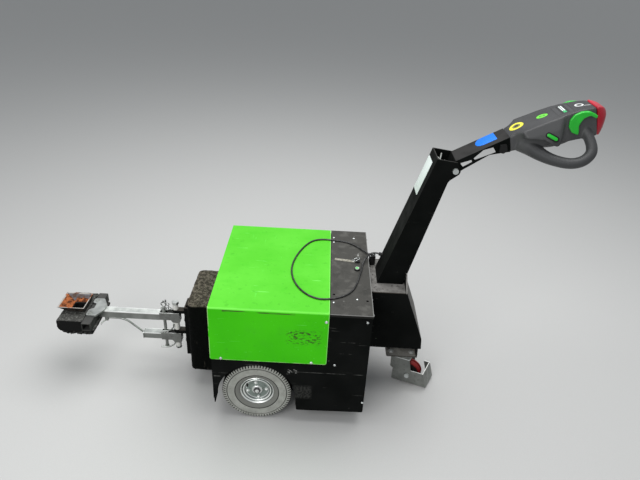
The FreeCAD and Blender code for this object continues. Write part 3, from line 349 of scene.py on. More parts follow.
def rounded_outline(length, width, corner, steps):
    """The outline of a rectangle with round corners, or of a capsule, with no point twice."""
    spots = []
    for x, y, start in ((1, 1, 0), (-1, 1, 90), (-1, -1, 180), (1, -1, 270)):
        for i in range(steps + 1):
            turn = math.radians(start + 90 * i / steps)
            spots.append((round(x * (length / 2 - corner) + corner * math.cos(turn), 9),
                          round(y * (width / 2 - corner) + corner * math.sin(turn), 9)))
    return list(dict.fromkeys(spots))


def add_plate(shape, outline, thickness, stand, edge):
    """A flat plate with an outline in the stand's own X and Y."""
    part = bmesh.new()
    face = part.faces.new([part.verts.new((x, y, 0)) for x, y in outline])
    grown = bmesh.ops.extrude_face_region(part, geom=[face])["geom"]
    bmesh.ops.translate(part, verts=[v for v in grown if isinstance(v, bmesh.types.BMVert)],
                        vec=(0, 0, thickness))
    soften_edges(part, edge)
    pour(part, shape, stand)


def swept_mesh(route, radius, swell, sides):
    """The mesh of a round bar along a route; swell scales the radius at each point."""
    holder = bpy.data.objects.new("swept", nurbs_curve("swept", route, swell, radius, sides))
    mesh = bpy.data.meshes.new_from_object(holder)
    bpy.data.objects.remove(holder)
    return mesh


def add_bar(shape, route, radius):
    """A round wire or bar along a route."""
    part = bmesh.new()
    part.from_mesh(swept_mesh(route, radius, [1] * len(route), 3))
    pour(part, shape)


def add_ring(shape, radius, wire, stand, steps):
    """A round wire ring that lies flat on its stand."""
    turns = [math.tau * i / 10 for i in range(10)]
    add_turned(shape, [(radius + wire * math.cos(turn), wire * math.sin(turn))
                       for turn in turns], stand, steps, closed=True)


def finish_piece(name, shape, finish, body, replaced=(), crease=35):
    """Turn a shape into an object with its finish that rides on a body."""
    mesh = bpy.data.meshes.new(name)
    shape.to_mesh(mesh)
    shape.free()
    mesh.shade_smooth()
    mesh.set_sharp_from_angle(angle=math.radians(crease))
    mesh.materials.append(finish.material)
    piece = new_object(name, mesh)
    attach(piece, body)
    if replaced:
        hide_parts(*replaced)
    print(name, "faces", len(mesh.polygons))


# A screw head's outline, as shares of its radius and height
DOME = [(0, 1.0), (0.5, 0.93), (0.85, 0.62), (1.0, 0.18), (1.0, 0.0), (0, 0.0)]


def add_screw(shape, place, direction, radius, height):
    """A domed screw head."""
    add_turned(shape, [(radius * r, height * h) for r, h in DOME], aimed(place, direction), 20)


# %% [markdown]
# ## Painted sheet metal
# The hood is lime-green gloss paint on folded sheet. A single green looks like plastic, so we
# add what years of use do: faint scratches, dark specks of dirt and a patch on the side where
# a sticker was torn off. Bright lines along the folds and edges are partly worn paint and
# partly painted highlight. The top of the hood is a paler green than its sides.

# %% Green hood paint
hood_low, hood_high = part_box("hood")


def green_paint(low, high):
    """Used green gloss paint for a hood that fills the box from low to high."""
    f = Finish("hood_green", 0.36, gloss=0.12)
    side_tone = f.mix(f.mottle(4, 0.3, 0.7), (0.040, 0.50, 0.0006), (0.055, 0.58, 0.0020))
    top_tone = f.mix(f.mottle(5, 0.3, 0.7), (0.085, 0.51, 0.024), (0.112, 0.575, 0.038))
    upward = f.toward("Z", 0.3, 0.9)
    # Faces that look up get a paler green than the sides.
    f.tone = f.mix(upward, side_tone, top_tone)
    f.lay((0.05, 0.46, 0.012), f.mottle(17, 0.5, 0.75, 9, (1, 1.6, 1)), 0.28)
    scratch = f.mottle(26, 0.69, 0.72, 6, (0.35, 3.0, 9.0))
    f.lay((0.22, 0.78, 0.15), scratch, 0.42)
    f.lay((0.14, 0.72, 0.09), f.mottle(20, 0.70, 0.72, 3, (6.0, 0.6, 5.0)), 0.35)
    specks = f.times(f.mottle(190, 0.715, 0.74, 4), f.mottle(9, 0.46, 0.56, 2))
    f.lay((0.012, 0.045, 0.006), specks, upward)
    f.lay((0.03, 0.30, 0.01), f.mottle(60, 0.61, 0.72, 8), 0.3)
    torn = f.box((-0.045, -0.31, 0.385), (0.072, -0.29, 0.442), 0.012)
    f.lay((0.035, 0.05, 0.012), torn, f.mottle(95, 0.55, 0.585, 9, (1, 1, 1.9)))
    # A bright line on the bend along the top edge: partly worn paint, partly painted highlight.
    fold = f.box((-0.33, -0.31, high.z - 0.0055), (0.1, low.y + 0.005, high.z - 0.0005), 0.0012)
    f.lay((0.22, 0.86, 0.10), fold, 0.55)
    chips = f.box((-0.27, -0.31, high.z - 0.013), (-0.02, -0.29, high.z - 0.0075), 0.0012)
    f.lay((0.05, 0.05, 0.02), chips, f.mottle(60, 0.44, 0.50, 6, (0.16, 1, 2.6)))
    # Bright lines along the rear, lower and front edges: partly worn paint, partly painted
    # highlight.
    rear_edge = f.box((high.x - 0.0022, -0.31, low.z), (high.x + 0.01, 0.31, 0.53), 0.0007)
    f.lay((0.30, 0.80, 0.18), rear_edge, 0.7)
    lower_edge = f.box((-0.4, -0.31, low.z - 0.01), (0.2, -0.2965, low.z + 0.0022), 0.0008)
    front_edge = f.box((-0.33, -0.31, 0.28), (-0.3178, -0.29, 0.53), 0.0008)
    f.lay((0.34, 0.62, 0.20), f.maths("MAXIMUM", lower_edge, front_edge),
          f.mottle(30, 0.35, 0.6))
    return f.paint(f.between(scratch, -1.2, 2.4)).relief(0.04, 0.004, 14, 0.2, 0.8, 2)


hood_paint = green_paint(hood_low, hood_high)
print("hood from", [round(v, 3) for v in hood_low], "to", [round(v, 3) for v in hood_high])

# %% [markdown]
# ## Black paint and dirt
# The frame, the hitch bracket and the column are black satin paint. On black, wear shows as
# pale marks, and dust shows on what faces up. One function with a few numbers for scuffs and
# dust makes all of these paints, because the panel is much dirtier than the column. On the
# castor base, which lies in the bracket's shade, the pale film on top is made thick: dust, and
# painted light. The sides reflect little, so the shader's specular level is low.

# %% Black paint, from clean to dirty
def black_paint(name, scuffs, dust_and_light=0.0, stretch=(1, 1, 1), rough=0.45,
                film=(0.062, 0.061, 0.056), grit=0.3):
    """Black satin paint with pale scuffs, and a pale film on what faces up: dust, and on the castor
    base also painted light.
    """
    f = Finish(name, rough, gloss=0.03)
    f.tone = f.mix(f.mottle(7, 0.3, 0.7), (0.0028, 0.0034, 0.0030), (0.0060, 0.0066, 0.0062))
    upward = f.toward("Z", 0.15, 0.85)
    thin = f.between(f.mottle(15, 0.3, 0.7, 8), -1.2, 1.0)
    f.lay(film, f.maths("ADD", f.times(upward, thin), dust_and_light * 0.4))
    if dust_and_light:
        f.lay(shade(film, 1.9), f.mottle(21, 0.50, 0.68, 9), dust_and_light, upward)
        f.lay(shade(film, 2.4), f.mottle(230, 0.60, 0.68, 6), grit, upward)
    f.lay((0.20, 0.20, 0.19), f.mottle(34, 0.715, 0.74, 9, stretch), scuffs)
    lines = f.mottle(11, 0.665, 0.69, 5, (0.5, 3.0, 14.0))
    f.lay((0.15, 0.15, 0.14), lines, f.mottle(60, 0.42, 0.56, 5), scuffs * 0.5)
    f.paint(f.maths("ADD", f.times(f.mottle(22, 0.3, 0.8, 8), 0.22), rough))
    return f.relief(0.06, 0.0006, 320, 0.3, 0.7)


black_side = black_paint("black_side", 0.75, 0.0, (0.5, 1, 2.6))
# The castor base gets a thick pale film and dust: dust, and painted light on a plate in the
# bracket's shade.
black_base = black_paint("black_base", 0.4, 0.5, (1, 1, 1), 0.5, (0.34, 0.33, 0.30), 0.4)
black_column = black_paint("black_column", 0.12, 0.0, (1, 1, 2.0), 0.5,
                           (0.046, 0.046, 0.043))
black_hitch = black_paint("black_hitch", 0.55, 0.0, (1, 1, 2), 0.46, (0.05, 0.045, 0.038))
black_arm = black_paint("black_arm", 0.12, 0.0, (2, 1, 1), 0.36, (0.034, 0.033, 0.032))
print("black paints", [m.name for m in bpy.data.materials if m.name.startswith("black")])

# %% [markdown]
# A grey rubbed patch sits low on the skirt behind the wheel, and a pale line, a painted
# highlight, marks a sheet fold that runs back from the arch, with a short one in front of it.
# They belong to the side plates alone, so these get a paint of their own, with the marks laid
# over its tone. The panel's paint has painted highlights along its edges in the same way.

# %% Marks on the skirt and the panel
def marked_skirt():
    """Black paint with a rubbed patch, a scrape and fold lines that are painted highlights, beside
    the wheel arch.
    """
    f = black_paint("black_skirt", 0.55, 0.0, (0.5, 1, 2.6))
    patch = f.box((-0.017, -0.31, 0.125), (0.047, -0.28, 0.186), 0.007)
    grain = f.between(f.mottle(150, 0.40, 0.60, 6), -0.6, 1.6)
    f.lay((0.075, 0.075, 0.07), patch, grain, 0.5)
    # The fold lines are painted highlights on the sheet's folds.
    lines = f.maths("MAXIMUM", f.box((-0.02, -0.31, 0.2515), (0.245, -0.28, 0.2535), 0.0008),
                    f.box((-0.310, -0.31, 0.2115), (-0.285, -0.28, 0.2155), 0.001))
    f.lay((0.16, 0.16, 0.15), lines, f.mottle(26, 0.42, 0.62, 6, (1, 1, 0.4)), 0.7)
    scrape = f.box((-0.045, -0.31, 0.243), (-0.008, -0.28, 0.262), 0.006)
    f.lay((0.42, 0.42, 0.40), scrape, f.mottle(210, 0.56, 0.62, 9, (0.6, 1, 1)))
    return f.paint()


def dirty_panel(low, high):
    """Dusty black paint with painted highlights along its near and rear top edges."""
    f = black_paint("edged_panel", 0.5, 0.55, (1, 1, 1), 0.5)
    # Painted highlights along the near and rear top edges.
    near = f.box((0, low.y - 0.01, high.z - 0.0035), (0.3, low.y + 0.0022, high.z + 0.01), 0.0007)
    rear = f.box((high.x - 0.0022, -0.31, high.z - 0.0035), (high.x + 0.01, 0.31, high.z + 0.01),
                 0.0007)
    f.lay((0.26, 0.26, 0.25), f.maths("MAXIMUM", near, rear), 0.75)
    return f.paint()


panel_low, panel_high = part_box("top_panel")
black_skirt = marked_skirt()
edged_panel = dirty_panel(panel_low, panel_high)
print("skirt and panel finishes ready")

# %% [markdown]
# ## The ballast box
# The cast ballast box in front of the hood is rough and caked with pale road dirt on top,
# and its sides are nearly black with a few streaks. We ask the shader which way the surface
# faces, and lay the thick dirt only where it faces up.

# %% Ballast box and rubber pad
def caked(name, base, dirt, scale, stretch, rough, sides, cover=0.5):
    """Dark rough stuff with pale dirt caked on what faces up and streaks on its sides."""
    f = Finish(name, rough, gloss=0.02)
    up = f.toward("Z", 0.12, 0.75)
    f.tone = f.mix(f.times(up, 0.42), base, dirt)
    cake = f.times(f.mottle(scale, cover - 0.05, cover + 0.08, 12), up)
    streak = f.times(f.mottle(scale * 0.8, 0.66, 0.72, 8, stretch), sides)
    f.lay(shade(dirt, 1.25), f.maths("ADD", cake, streak), 0.8)
    f.lay(shade(dirt, 0.16), f.mottle(scale * 2.6, 0.55, 0.64, 6), up)
    f.lay(shade(dirt, 2.6), f.mottle(scale * 3.1, 0.65, 0.70, 6), up)
    return f.paint().relief(0.45, 0.002, scale * 1.6, 0.3, 0.7, 8)


ballast_paint = caked("ballast_paint", (0.003, 0.0034, 0.003), (0.104, 0.092, 0.072), 75,
                      (1.6, 1.6, 0.25), 0.62, 0.30)
pad_rubber = caked("pad_rubber", (0.011, 0.0112, 0.011), (0.125, 0.125, 0.116), 110,
                   (1, 1, 1), 0.72, 0.5, 0.55)
print("caked finishes ready")

# %% [markdown]
# ## Plated and rusty steel
# The tow arm is zinc-plated. Zinc is a soft grey metal with cloudy patches, so roughness and
# colour both vary with a broad noise. Spots of grime are laid on at random, and what doesn't
# face up gets painted shade for the dark ground that it reflects. The catch funnel has lost
# its plating: inside it is orange rust, and only its rim is rubbed bright.

# %% Zinc
def zinc_plate(name, colour=(0.52, 0.54, 0.52), rough=0.34, grime=0.35, shadow=0.42):
    """Cloudy zinc plating with spots of grime, and painted shade on what doesn't face up."""
    f = Finish(name, rough, 0.75, gloss=0.4)
    f.tone = f.mix(f.mottle(24, 0.3, 0.7, 5), shade(colour, 0.76), colour)
    # Painted shade: what doesn't face up is darkened by the shadow amount, for the dark ground the
    # metal reflects.
    f.lay((0.035, 0.037, 0.033), f.maths("SUBTRACT", 1.0, f.toward("Z", 0.1, 0.8)), shadow)
    dirt = f.times(f.mottle(75, 0.55, 0.68, 8), grime)
    f.lay((0.055, 0.05, 0.043), dirt)
    f.paint(f.maths("ADD", f.times(f.mottle(40, 0.3, 0.7, 6), 0.25), rough),
            f.maths("SUBTRACT", 0.75, dirt))
    return f.relief(0.12, 0.0006, 240, 0.3, 0.7)


def highlit_zinc(name, *look):
    """Dull zinc with a painted highlight, broken by a mottle, where it faces up."""
    f = zinc_plate(name, *look)
    # Painted highlight on what faces up, where sheet edges catch the light.
    f.lay((0.85, 0.86, 0.83), f.toward("Z", 0.7, 0.9), f.between(f.mottle(40, 0.3, 0.6), -0.5, 0.8))
    return f.paint()


def tube_zinc(names):
    """Pale zinc with painted shade on its sides and painted highlights along the upper edges of the
    named tubes.
    """
    f = zinc_plate("zinc_tube", (0.80, 0.83, 0.79), 0.34, 0.12, 0.72)
    edges = 0.0
    for name in names:
        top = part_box(name)[1].z
        for near, far in ((-0.02, -0.0125), (0.0125, 0.02)):
            line = f.box((-1, near, top - 0.0040), (-0.5, far, top + 0.001), 0.0007)
            edges = f.maths("MAXIMUM", edges, line)
    # Painted highlights along the tubes' upper edges.
    f.lay((0.95, 0.96, 0.94), edges)
    return f.paint()


zinc = zinc_plate("zinc")
zinc_tube = tube_zinc(("main_tube", "lower_tube"))
zinc_hinge = zinc_plate("zinc_hinge", (0.50, 0.51, 0.49), 0.34, 0.75, 0.78)
zinc_bright = zinc_plate("zinc_bright", (0.70, 0.73, 0.72), 0.20, 0.10, 0.0)
zinc_dull = zinc_plate("zinc_dull", (0.42, 0.435, 0.41), 0.5, 0.5, 0.35)
steel_dark = zinc_plate("steel_dark", (0.11, 0.11, 0.105), 0.55, 0.6, 0.8)
zinc_knuckle = highlit_zinc("zinc_knuckle", (0.45, 0.46, 0.44), 0.34, 0.6, 0.6)
zinc_sheet = highlit_zinc("zinc_sheet", (0.40, 0.415, 0.39), 0.5, 0.5, 0.35)
print("zinc finishes", [m.name for m in bpy.data.materials if m.name.startswith("zinc")])

# %% [markdown]
# The funnel has three kinds of surface. Its sloping inner walls are rusty, its far wall has
# kept a grey-blue film, and the outside is nearly black. The direction that a face looks in
# and where it lies tell them apart, so one finish covers the whole funnel.

# %% Rust, and plate with dust and painted sheen
def funnel_rust():
    """Orange rust, with a grey film on the far wall, a dark outside and a bright lip."""
    f = Finish("rust", 0.85, gloss=0.2)
    f.tone = f.mix(f.mottle(60, 0.36, 0.60, 9), (0.085, 0.026, 0.009), (0.40, 0.125, 0.042))
    f.lay((0.030, 0.012, 0.007), f.mottle(150, 0.56, 0.64, 8))
    film = f.mix(f.mottle(40, 0.4, 0.65, 6), (0.16, 0.165, 0.185), (0.11, 0.075, 0.06))
    f.lay(film, f.toward("Y", -0.74, -0.80), f.box((-1.0, 0.0, 0.20), (0, 0.2, 0.31), 0.001),
          f.box((-1.0, -0.2, 0.274), (0, 0.2, 0.31), 0.001))
    dark_side = f.mix(f.mottle(45, 0.45, 0.7, 6), (0.014, 0.013, 0.012), (0.06, 0.045, 0.035))
    near_edge = f.times(f.box((-1.0, -0.2, 0.10), (0, -0.044, 0.2985), 0.001),
                        f.toward("Y", -0.3, -0.6))
    f.lay(dark_side, f.maths("MAXIMUM", f.toward("Z", 0.05, -0.05), near_edge))
    lip = f.box((-1.0, -0.1, 0.2992), (0, 0.1, 0.31), 0.0005)
    f.lay((0.42, 0.40, 0.37), lip, f.mottle(34, 0.34, 0.50))
    return f.paint().relief(0.6, 0.0015, 170, 0.3, 0.7, 8)


def dust_and_sheen_steel():
    """Black plate made pale on top and a little on what faces the driver: mottled dust and a
    painted sheen.
    """
    f = Finish("dust_and_sheen_plate", 0.62, gloss=0.15)
    dust_and_light = f.mix(f.mottle(30, 0.30, 0.70, 10), (0.125, 0.121, 0.113), (0.215, 0.208, 0.196))
    dust_and_light = f.mix(f.mottle(90, 0.58, 0.66, 6), dust_and_light, (0.07, 0.068, 0.063))
    veil = f.maths("ADD", f.times(f.mottle(12, 0.3, 0.7, 6), 0.25), 0.22)
    amount = f.maths("MAXIMUM", f.toward("Z", 0.1, 0.5), f.times(f.toward("X", 0.55, 0.8), veil))
    # The pale tone on top is dust and a painted sheen of the sky on the black plate.
    f.tone = f.mix(amount, (0.004, 0.0045, 0.004), dust_and_light)
    return f.paint().relief(0.2, 0.001, 200, 0.3, 0.7)


rust = funnel_rust()
dust_and_sheen_plate = dust_and_sheen_steel()
print("rust and dust ready")

# %% [markdown]
# ## Moulded plastic
# The thumb levers, switch boxes and castor wheel are moulded, with a fine grain. Grain is a
# dense noise used only as relief, so that highlights break up without the colour changing.
# The same function, with other numbers, serves the labels and the cast cases, and gives the
# pale grey of the castor's screws and fork edges, a painted highlight in the bracket's shade.

# %% Plastics
def moulded(name, colour, rough=0.5, grain=0.25, wear=0.2, gloss=0.5):
    """Moulded plastic with a fine grain and slightly rubbed patches."""
    f = Finish(name, rough, gloss=gloss)
    rubbed = f.times(f.mottle(18, 0.5, 0.8, 6), wear)
    f.tone = f.mix(rubbed, colour, tuple(min(1.0, 1.6 * part + 0.012) for part in colour))
    f.paint(f.maths("SUBTRACT", rough, f.times(rubbed, 0.4)))
    return f.relief(grain, 0.0004, 850, 0.25, 0.75, 3)


lever_green = moulded("lever_green", (0.016, 0.42, 0.028), 0.30, 0.06, 0.3)
black_fitting = moulded("black_fitting", (0.010, 0.010, 0.010), 0.45, 0.15, 0.4, 0.2)
sleeve_white = moulded("sleeve_white", (0.66, 0.66, 0.62), 0.5, 0.1, 0.0)
castor_core = moulded("castor_core", (0.012, 0.012, 0.012), 0.55, gloss=0.2)
castor_red = moulded("castor_red", (0.17, 0.008, 0.008), 0.5, 0.2, 0.5, 0.3)
battery_case = moulded("battery_case", (0.012, 0.012, 0.013), 0.5, gloss=0.2)
cast_case = moulded("cast_case", (0.05, 0.05, 0.052), 0.6, 0.5)
# A pale non-metal grey: painted highlight, so that the castor's screws and fork edges show bright
# in the bracket's shade.
screw_bright = moulded("screw_bright", (0.62, 0.64, 0.62), 0.32, 0.1, 0.5, 0.6)
label_white = moulded("label_white", (0.74, 0.80, 0.78), 0.45, 0.0, 0.0)
print("plastics ready")

# %% [markdown]
# ## Tyres
# A small pneumatic tyre has a dusty side wall with two moulded grooves, and a band of short
# lugs on each shoulder. The body is one outline spun about the axle. A lug is a small prism:
# we draw its outline, grow it by a part turn, and then repeat it around the tyre. Each lug
# has only a few faces, because there are 144 on a tyre.

# %% Wheel centres
tyre_low, tyre_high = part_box("tyre_right")
AXLE = Vector(((tyre_low.x + tyre_high.x) / 2, 0, (tyre_low.z + tyre_high.z) / 2))
MIDDLE = abs(tyre_low.y + tyre_high.y) / 2
LUGS = 72
print("axle", [round(v, 4) for v in AXLE], "radius", round((tyre_high.z - tyre_low.z) / 2, 4))


def wheel_stand(side):
    """A stand in the middle of a wheel whose Z axis points out along the axle."""
    return aimed(AXLE + Vector((0, side * MIDDLE, 0)), (0, side, 0))


# %% Tyre rubber
def reach_from_axle(f):
    """The distance of the point being shaded from the wheels' axle line."""
    offset = f.node("VectorMath", {0: f.place(), 1: AXLE}, operation="SUBTRACT")
    flat = f.node("VectorMath", {0: offset, 1: (1, 0, 1)}, operation="MULTIPLY")
    return f.node("VectorMath", {0: flat}, "Value", operation="LENGTH")


def dusty_rubber(name, dark_from):
    """Rubber whose side is dusty, with dark grooves, and painted shade on the tread past a radius
    and on what doesn't face sideways.
    """
    f = Finish(name, 0.85, gloss=0.2)
    reach = reach_from_axle(f)
    f.tone = f.mix(f.mottle(30, 0.35, 0.65, 8), (0.30, 0.305, 0.276), (0.385, 0.392, 0.357))
    f.lay((0.18, 0.18, 0.165), f.mottle(120, 0.58, 0.67, 6), 0.5)
    f.lay((0.185, 0.188, 0.171), f.band(reach, 0.061, 0.0815, 0.002))
    for low, high in ((0.0803, 0.0838), (0.1104, 0.1134)):
        f.lay((0.030, 0.031, 0.028), f.band(reach, low, high), 0.85)
    # Painted shade: the crown in the arch's shadow and the gaps between the lugs are made dark.
    sideways = f.between(f.maths("ABSOLUTE", f.facing("Y")), 0.25, 0.62)
    inner = f.between(reach, dark_from + 0.001, dark_from - 0.001)
    f.tone = f.mix(f.times(sideways, inner), (0.012, 0.012, 0.011), f.tone)
    return f.paint().relief(0.25, 0.0008, 260, 0.3, 0.7, 6)


tyre_rubber = dusty_rubber("tyre_rubber", 0.1185)
lug_rubber = dusty_rubber("lug_rubber", 0.2)
print("rubber ready")

# %% Tyre shape, in millimetres from the axle and from the wheel's middle
SIDE_WALL = [(51, 24), (62.6, 28.2), (64.2, 31.6), (67, 34.6), (71, 36.6), (77, 38.4),
             (80.4, 38.9), (81.2, 37.2), (82.8, 37.2), (83.8, 39.5), (90, 40.1), (101, 40.3),
             (109.6, 40.0), (110.8, 38.0), (113, 38.0), (114.2, 39.5), (117, 38.6),
             (120.5, 36.2), (123, 32.5), (124.2, 26), (124.6, 6), (129.4, 4.4)]
LUG = [(115.2, 39.2), (118, 40.3), (124, 39.4), (128.2, 36.8), (130, 32.5), (130, 8.5),
       (123.5, 8.5), (122.4, 31), (116, 37.4)]
LUG_TURN = math.radians(3.05)


def tyre_body(shape, stand):
    """The rubber ring with its side grooves and centre rib."""
    half = millimetres(SIDE_WALL)
    whole = half + [(radius, -out) for radius, out in reversed(half)]
    add_turned(shape, whole, stand, 120, closed=True)


def lug_row(shape, stand, side, phase):
    """One shoulder's lugs, repeated around the tyre from a single prism."""
    part = bmesh.new()
    face = part.faces.new([part.verts.new((radius, 0, side * out))
                           for radius, out in millimetres(LUG)])
    bmesh.ops.rotate(part, verts=part.verts, cent=(0, 0, 0),
                     matrix=Matrix.Rotation(phase, 3, "Z"))
    spin(part, [face], LUG_TURN, 1)
    bmesh.ops.recalc_face_normals(part, faces=part.faces)
    prism = part.verts[:] + part.edges[:] + part.faces[:]
    spin(part, prism, math.tau * (LUGS - 1) / LUGS, LUGS - 1, copies=True)
    pour(part, shape, stand)


for side, label in SIDES:
    shape = bmesh.new()
    tyre_body(shape, wheel_stand(side))
    finish_piece("tyre_skin_" + label, shape, tyre_rubber, "wheel_" + label,
                 ["tyre_" + label])
    shape = bmesh.new()
    lug_row(shape, wheel_stand(side), 1, 0)
    lug_row(shape, wheel_stand(side), -1, math.pi / LUGS)
    finish_piece("tyre_lugs_" + label, shape, lug_rubber, "wheel_" + label)

# %% [markdown]
# ## Rims
# The rim is pressed from plated sheet: a rolled flange, a well and a dished disc that bolts
# to the hub with four nuts. We spin a finer outline than the CAD one, with the second roll
# that catches the light, and add rounded nuts, the axle bolt and the tyre valve.

# %% Finish of the rims
def rim_zinc():
    """Zinc with painted highlights on the rolls, painted shade in the rings beside them, and a
    bright hub and nuts.
    """
    f = zinc_plate("zinc_rim", (0.30, 0.35, 0.325), 0.26, 0.3, 0.0)
    reach = reach_from_axle(f)
    # Painted shade in the rings beside the rolls, and painted highlights on the rolls.
    f.lay((0.16, 0.18, 0.17), f.band(reach, 0.0425, 0.0475, 0.001))
    for low, high in ((0.0482, 0.0532), (0.0583, 0.0640)):
        f.lay((0.86, 0.88, 0.85), f.band(reach, low, high))
    f.lay((0.10, 0.11, 0.10), f.band(reach, 0.0541, 0.0573, 0.0004))
    off_middle = f.maths("ABSOLUTE", f.along("Y"))
    f.lay((0.80, 0.82, 0.80), f.between(off_middle, MIDDLE + 0.0216, MIDDLE + 0.0224),
          f.between(reach, 0.0445, 0.0435))
    return f.paint()


zinc_rim = rim_zinc()
print("rim finish ready")

# %% Pressed rims, in millimetres like the tyre
RIM = [(10.2, 27.5), (13.5, 28.6), (17.4, 28.2), (19.4, 26.4), (20.4, 21.2), (27, 20.2),
       (39, 20.9), (43.5, 22.6), (47, 26.2), (49.4, 29.3), (51.6, 30.2), (53.6, 29.2),
       (54.8, 27.0), (56.4, 26.4), (58.4, 28.4), (60.2, 31.4), (61.9, 32.6), (63.2, 31.6),
       (63.0, 29.6), (61.0, 28.4), (52, 25), (51.2, 24), (51.2, -24), (62.4, -28.4),
       (62.4, -31), (57.5, -31), (47, -26), (47, 17), (24, 17), (24, -40), (10.2, -40)]
STUD_END = [(0, 12), (2.2, 11.8), (3.4, 10.5), (3.4, 0), (0, 0)]
BOLT_END = [(0, 10.5), (3.0, 10.0), (4.4, 8.0), (4.4, 0), (0, 0)]
VALVE = [(0, 14), (3.0, 13.5), (3.6, 11.0), (3.6, 6.0), (5.0, 4.5), (5.6, 0), (0, 0)]
NUTS = 4
NUT_CIRCLE = 0.035
NUT_TURN = math.radians(8)

for side, label in SIDES:
    middle = AXLE + Vector((0, side * MIDDLE, 0))
    out = Vector((0, side, 0))
    shape = bmesh.new()
    add_turned(shape, millimetres(RIM), wheel_stand(side), 112, closed=True)
    for i in range(NUTS):
        turn = NUT_TURN + math.tau * i / NUTS
        spot = middle + NUT_CIRCLE * Vector((math.cos(turn), 0, math.sin(turn)))
        add_drum(shape, 0.0092, 0.0015, aimed(spot + out * 0.0200, out), 24, 0.0004)
        add_drum(shape, 0.0070, 0.0062, aimed(spot + out * 0.0212, out), 6, 0.0007)
        add_turned(shape, millimetres(STUD_END), aimed(spot + out * 0.0200, out), 16)
    add_drum(shape, 0.0098, 0.0016, aimed(middle + out * 0.0278, out), 32, 0.0004)
    add_drum(shape, 0.0084, 0.0065, aimed(middle + out * 0.0290, out), 6, 0.0009)
    add_turned(shape, millimetres(BOLT_END), aimed(middle + out * 0.0290, out), 20)
    finish_piece("rim_skin_" + label, shape, zinc_rim, "wheel_" + label,
                 ["rim_" + label])
    shape = bmesh.new()
    stem = middle + Vector((-0.040, 0, 0.0215)) + out * 0.019
    add_turned(shape, millimetres(VALVE), aimed(stem, (0.35, side, -0.15)), 18)
    finish_piece("valve_" + label, shape, black_fitting, "wheel_" + label)

# %% [markdown]
# ## The tiller head
# The head and its two grip loops are one soft moulding, with no sharp step where a loop
# leaves the head. CAD gives us plain solids. We copy the head, add each loop as a bar that
# swells towards its root, and melt all of it with a voxel remesh. A few rounds of smoothing
# then give the rounded edges of a real moulding. Remeshing was chosen over bevels because
# the shapes cross each other, and a bevel can't round an edge that isn't there yet.

# %% The head's own axes
HEAD_PLACE = Vector((0.663, 0, 1.052))
HEAD_TILT = math.radians(21.5)
HEAD_TURN = Matrix.Rotation(-HEAD_TILT, 3, "Y")
HEAD_LENGTH = 0.284


def in_head(s, y, n):
    """A point of the head, in metres: s along it, y across, n above its axis."""
    return HEAD_PLACE + HEAD_TURN @ Vector((s, y, n))


def head_axes(f):
    """The head's s, y and n at the point being shaded."""
    spot = f.node("Mapping", {"Location": HEAD_PLACE, "Rotation": (0, -HEAD_TILT, 0),
                              "Vector": f.place()}, vector_type="TEXTURE")
    return [f.node("SeparateXYZ", {0: spot}, letter) for letter in "XYZ"]


print("tip of the head", [round(v, 3) for v in in_head(HEAD_LENGTH, 0, 0)])

# %% Melt and smooth
def copy_node(name):
    """The mesh of a CAD node as a bmesh."""
    shape = bmesh.new()
    shape.from_mesh(nodes[name].data)
    bmesh.ops.remove_doubles(shape, verts=shape.verts, dist=1e-5)
    return shape


def melt(shape, voxel, rounds):
    """Remesh overlapping closed shapes as one skin and smooth it."""
    mesh = bpy.data.meshes.new("melt")
    shape.to_mesh(mesh)
    shape.free()
    holder = new_object("melt", mesh)
    remesh = holder.modifiers.new("skin", "REMESH")
    remesh.mode = "VOXEL"
    remesh.voxel_size = voxel
    graph = bpy.context.evaluated_depsgraph_get()
    skin = bpy.data.meshes.new_from_object(holder.evaluated_get(graph))
    bpy.data.objects.remove(holder)
    melted = bmesh.new()
    melted.from_mesh(skin)
    for _ in range(rounds):
        bmesh.ops.smooth_vert(melted, verts=melted.verts, factor=0.5, use_axis_x=True,
                              use_axis_y=True, use_axis_z=True)
    return melted


print("melt ready")

# %% [markdown]
# The same remesh turns the plain ballast box and rubber pad into worn, rough shapes. After
# it, noise pushes each point a little in or out. Low on the pad a second noise only pushes
# in, because the rubber is torn there.

# %% Rough the ballast box and the pad
def roughen(shape, size, depth, torn_below=0.0, torn=0.0):
    """Push the points along their normals by a noise of a given size."""
    shape.normal_update()
    for vert in shape.verts:
        spot = vert.co / size
        push = noise.noise(spot) * depth + noise.noise(spot * 3) * depth / 2
        if vert.co.z < torn_below:
            push -= abs(noise.noise(spot * 1.7)) * torn
        vert.co += vert.normal * push


shape = melt(copy_node("ballast_box"), 0.0040, 5)
roughen(shape, 0.018, 0.0012)
finish_piece("ballast_casting", shape, ballast_paint, "chassis",
             ["ballast_box"], crease=180)
shape = melt(copy_node("rubber_pad"), 0.0024, 2)
roughen(shape, 0.010, 0.0015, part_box("rubber_pad")[0].z + 0.016, 0.024)
finish_piece("torn_pad", shape, pad_rubber, "tow_arm", ["rubber_pad"],
             crease=180)

# %% [markdown]
# The marks on top of the head are plain ovals and rectangles in the head's own axes, laid
# over its tone one after another. They carry no letters.

# %% Finish of the head
def oval(f, axes, s, y, length, width):
    """1 inside an ellipse on the top of the head, with an edge about 1 mm wide."""
    s = f.maths("DIVIDE", f.maths("SUBTRACT", axes[0], s), length / 2)
    y = f.maths("DIVIDE", f.maths("SUBTRACT", axes[1], y), width / 2)
    far = f.maths("SQRT", f.maths("ADD", f.times(s, s), f.times(y, y)))
    soft = 0.001 / length
    return f.times(f.between(far, 1 + soft, 1 - soft), f.between(axes[2], 0.030, 0.034))


def patch(f, axes, s0, s1, y0, y1):
    """1 inside a rectangle on the top of the head."""
    return f.times(f.between(axes[2], 0.030, 0.034), f.band(axes[0], s0, s1, 0.0005),
                   f.band(axes[1], y0, y1, 0.0005))


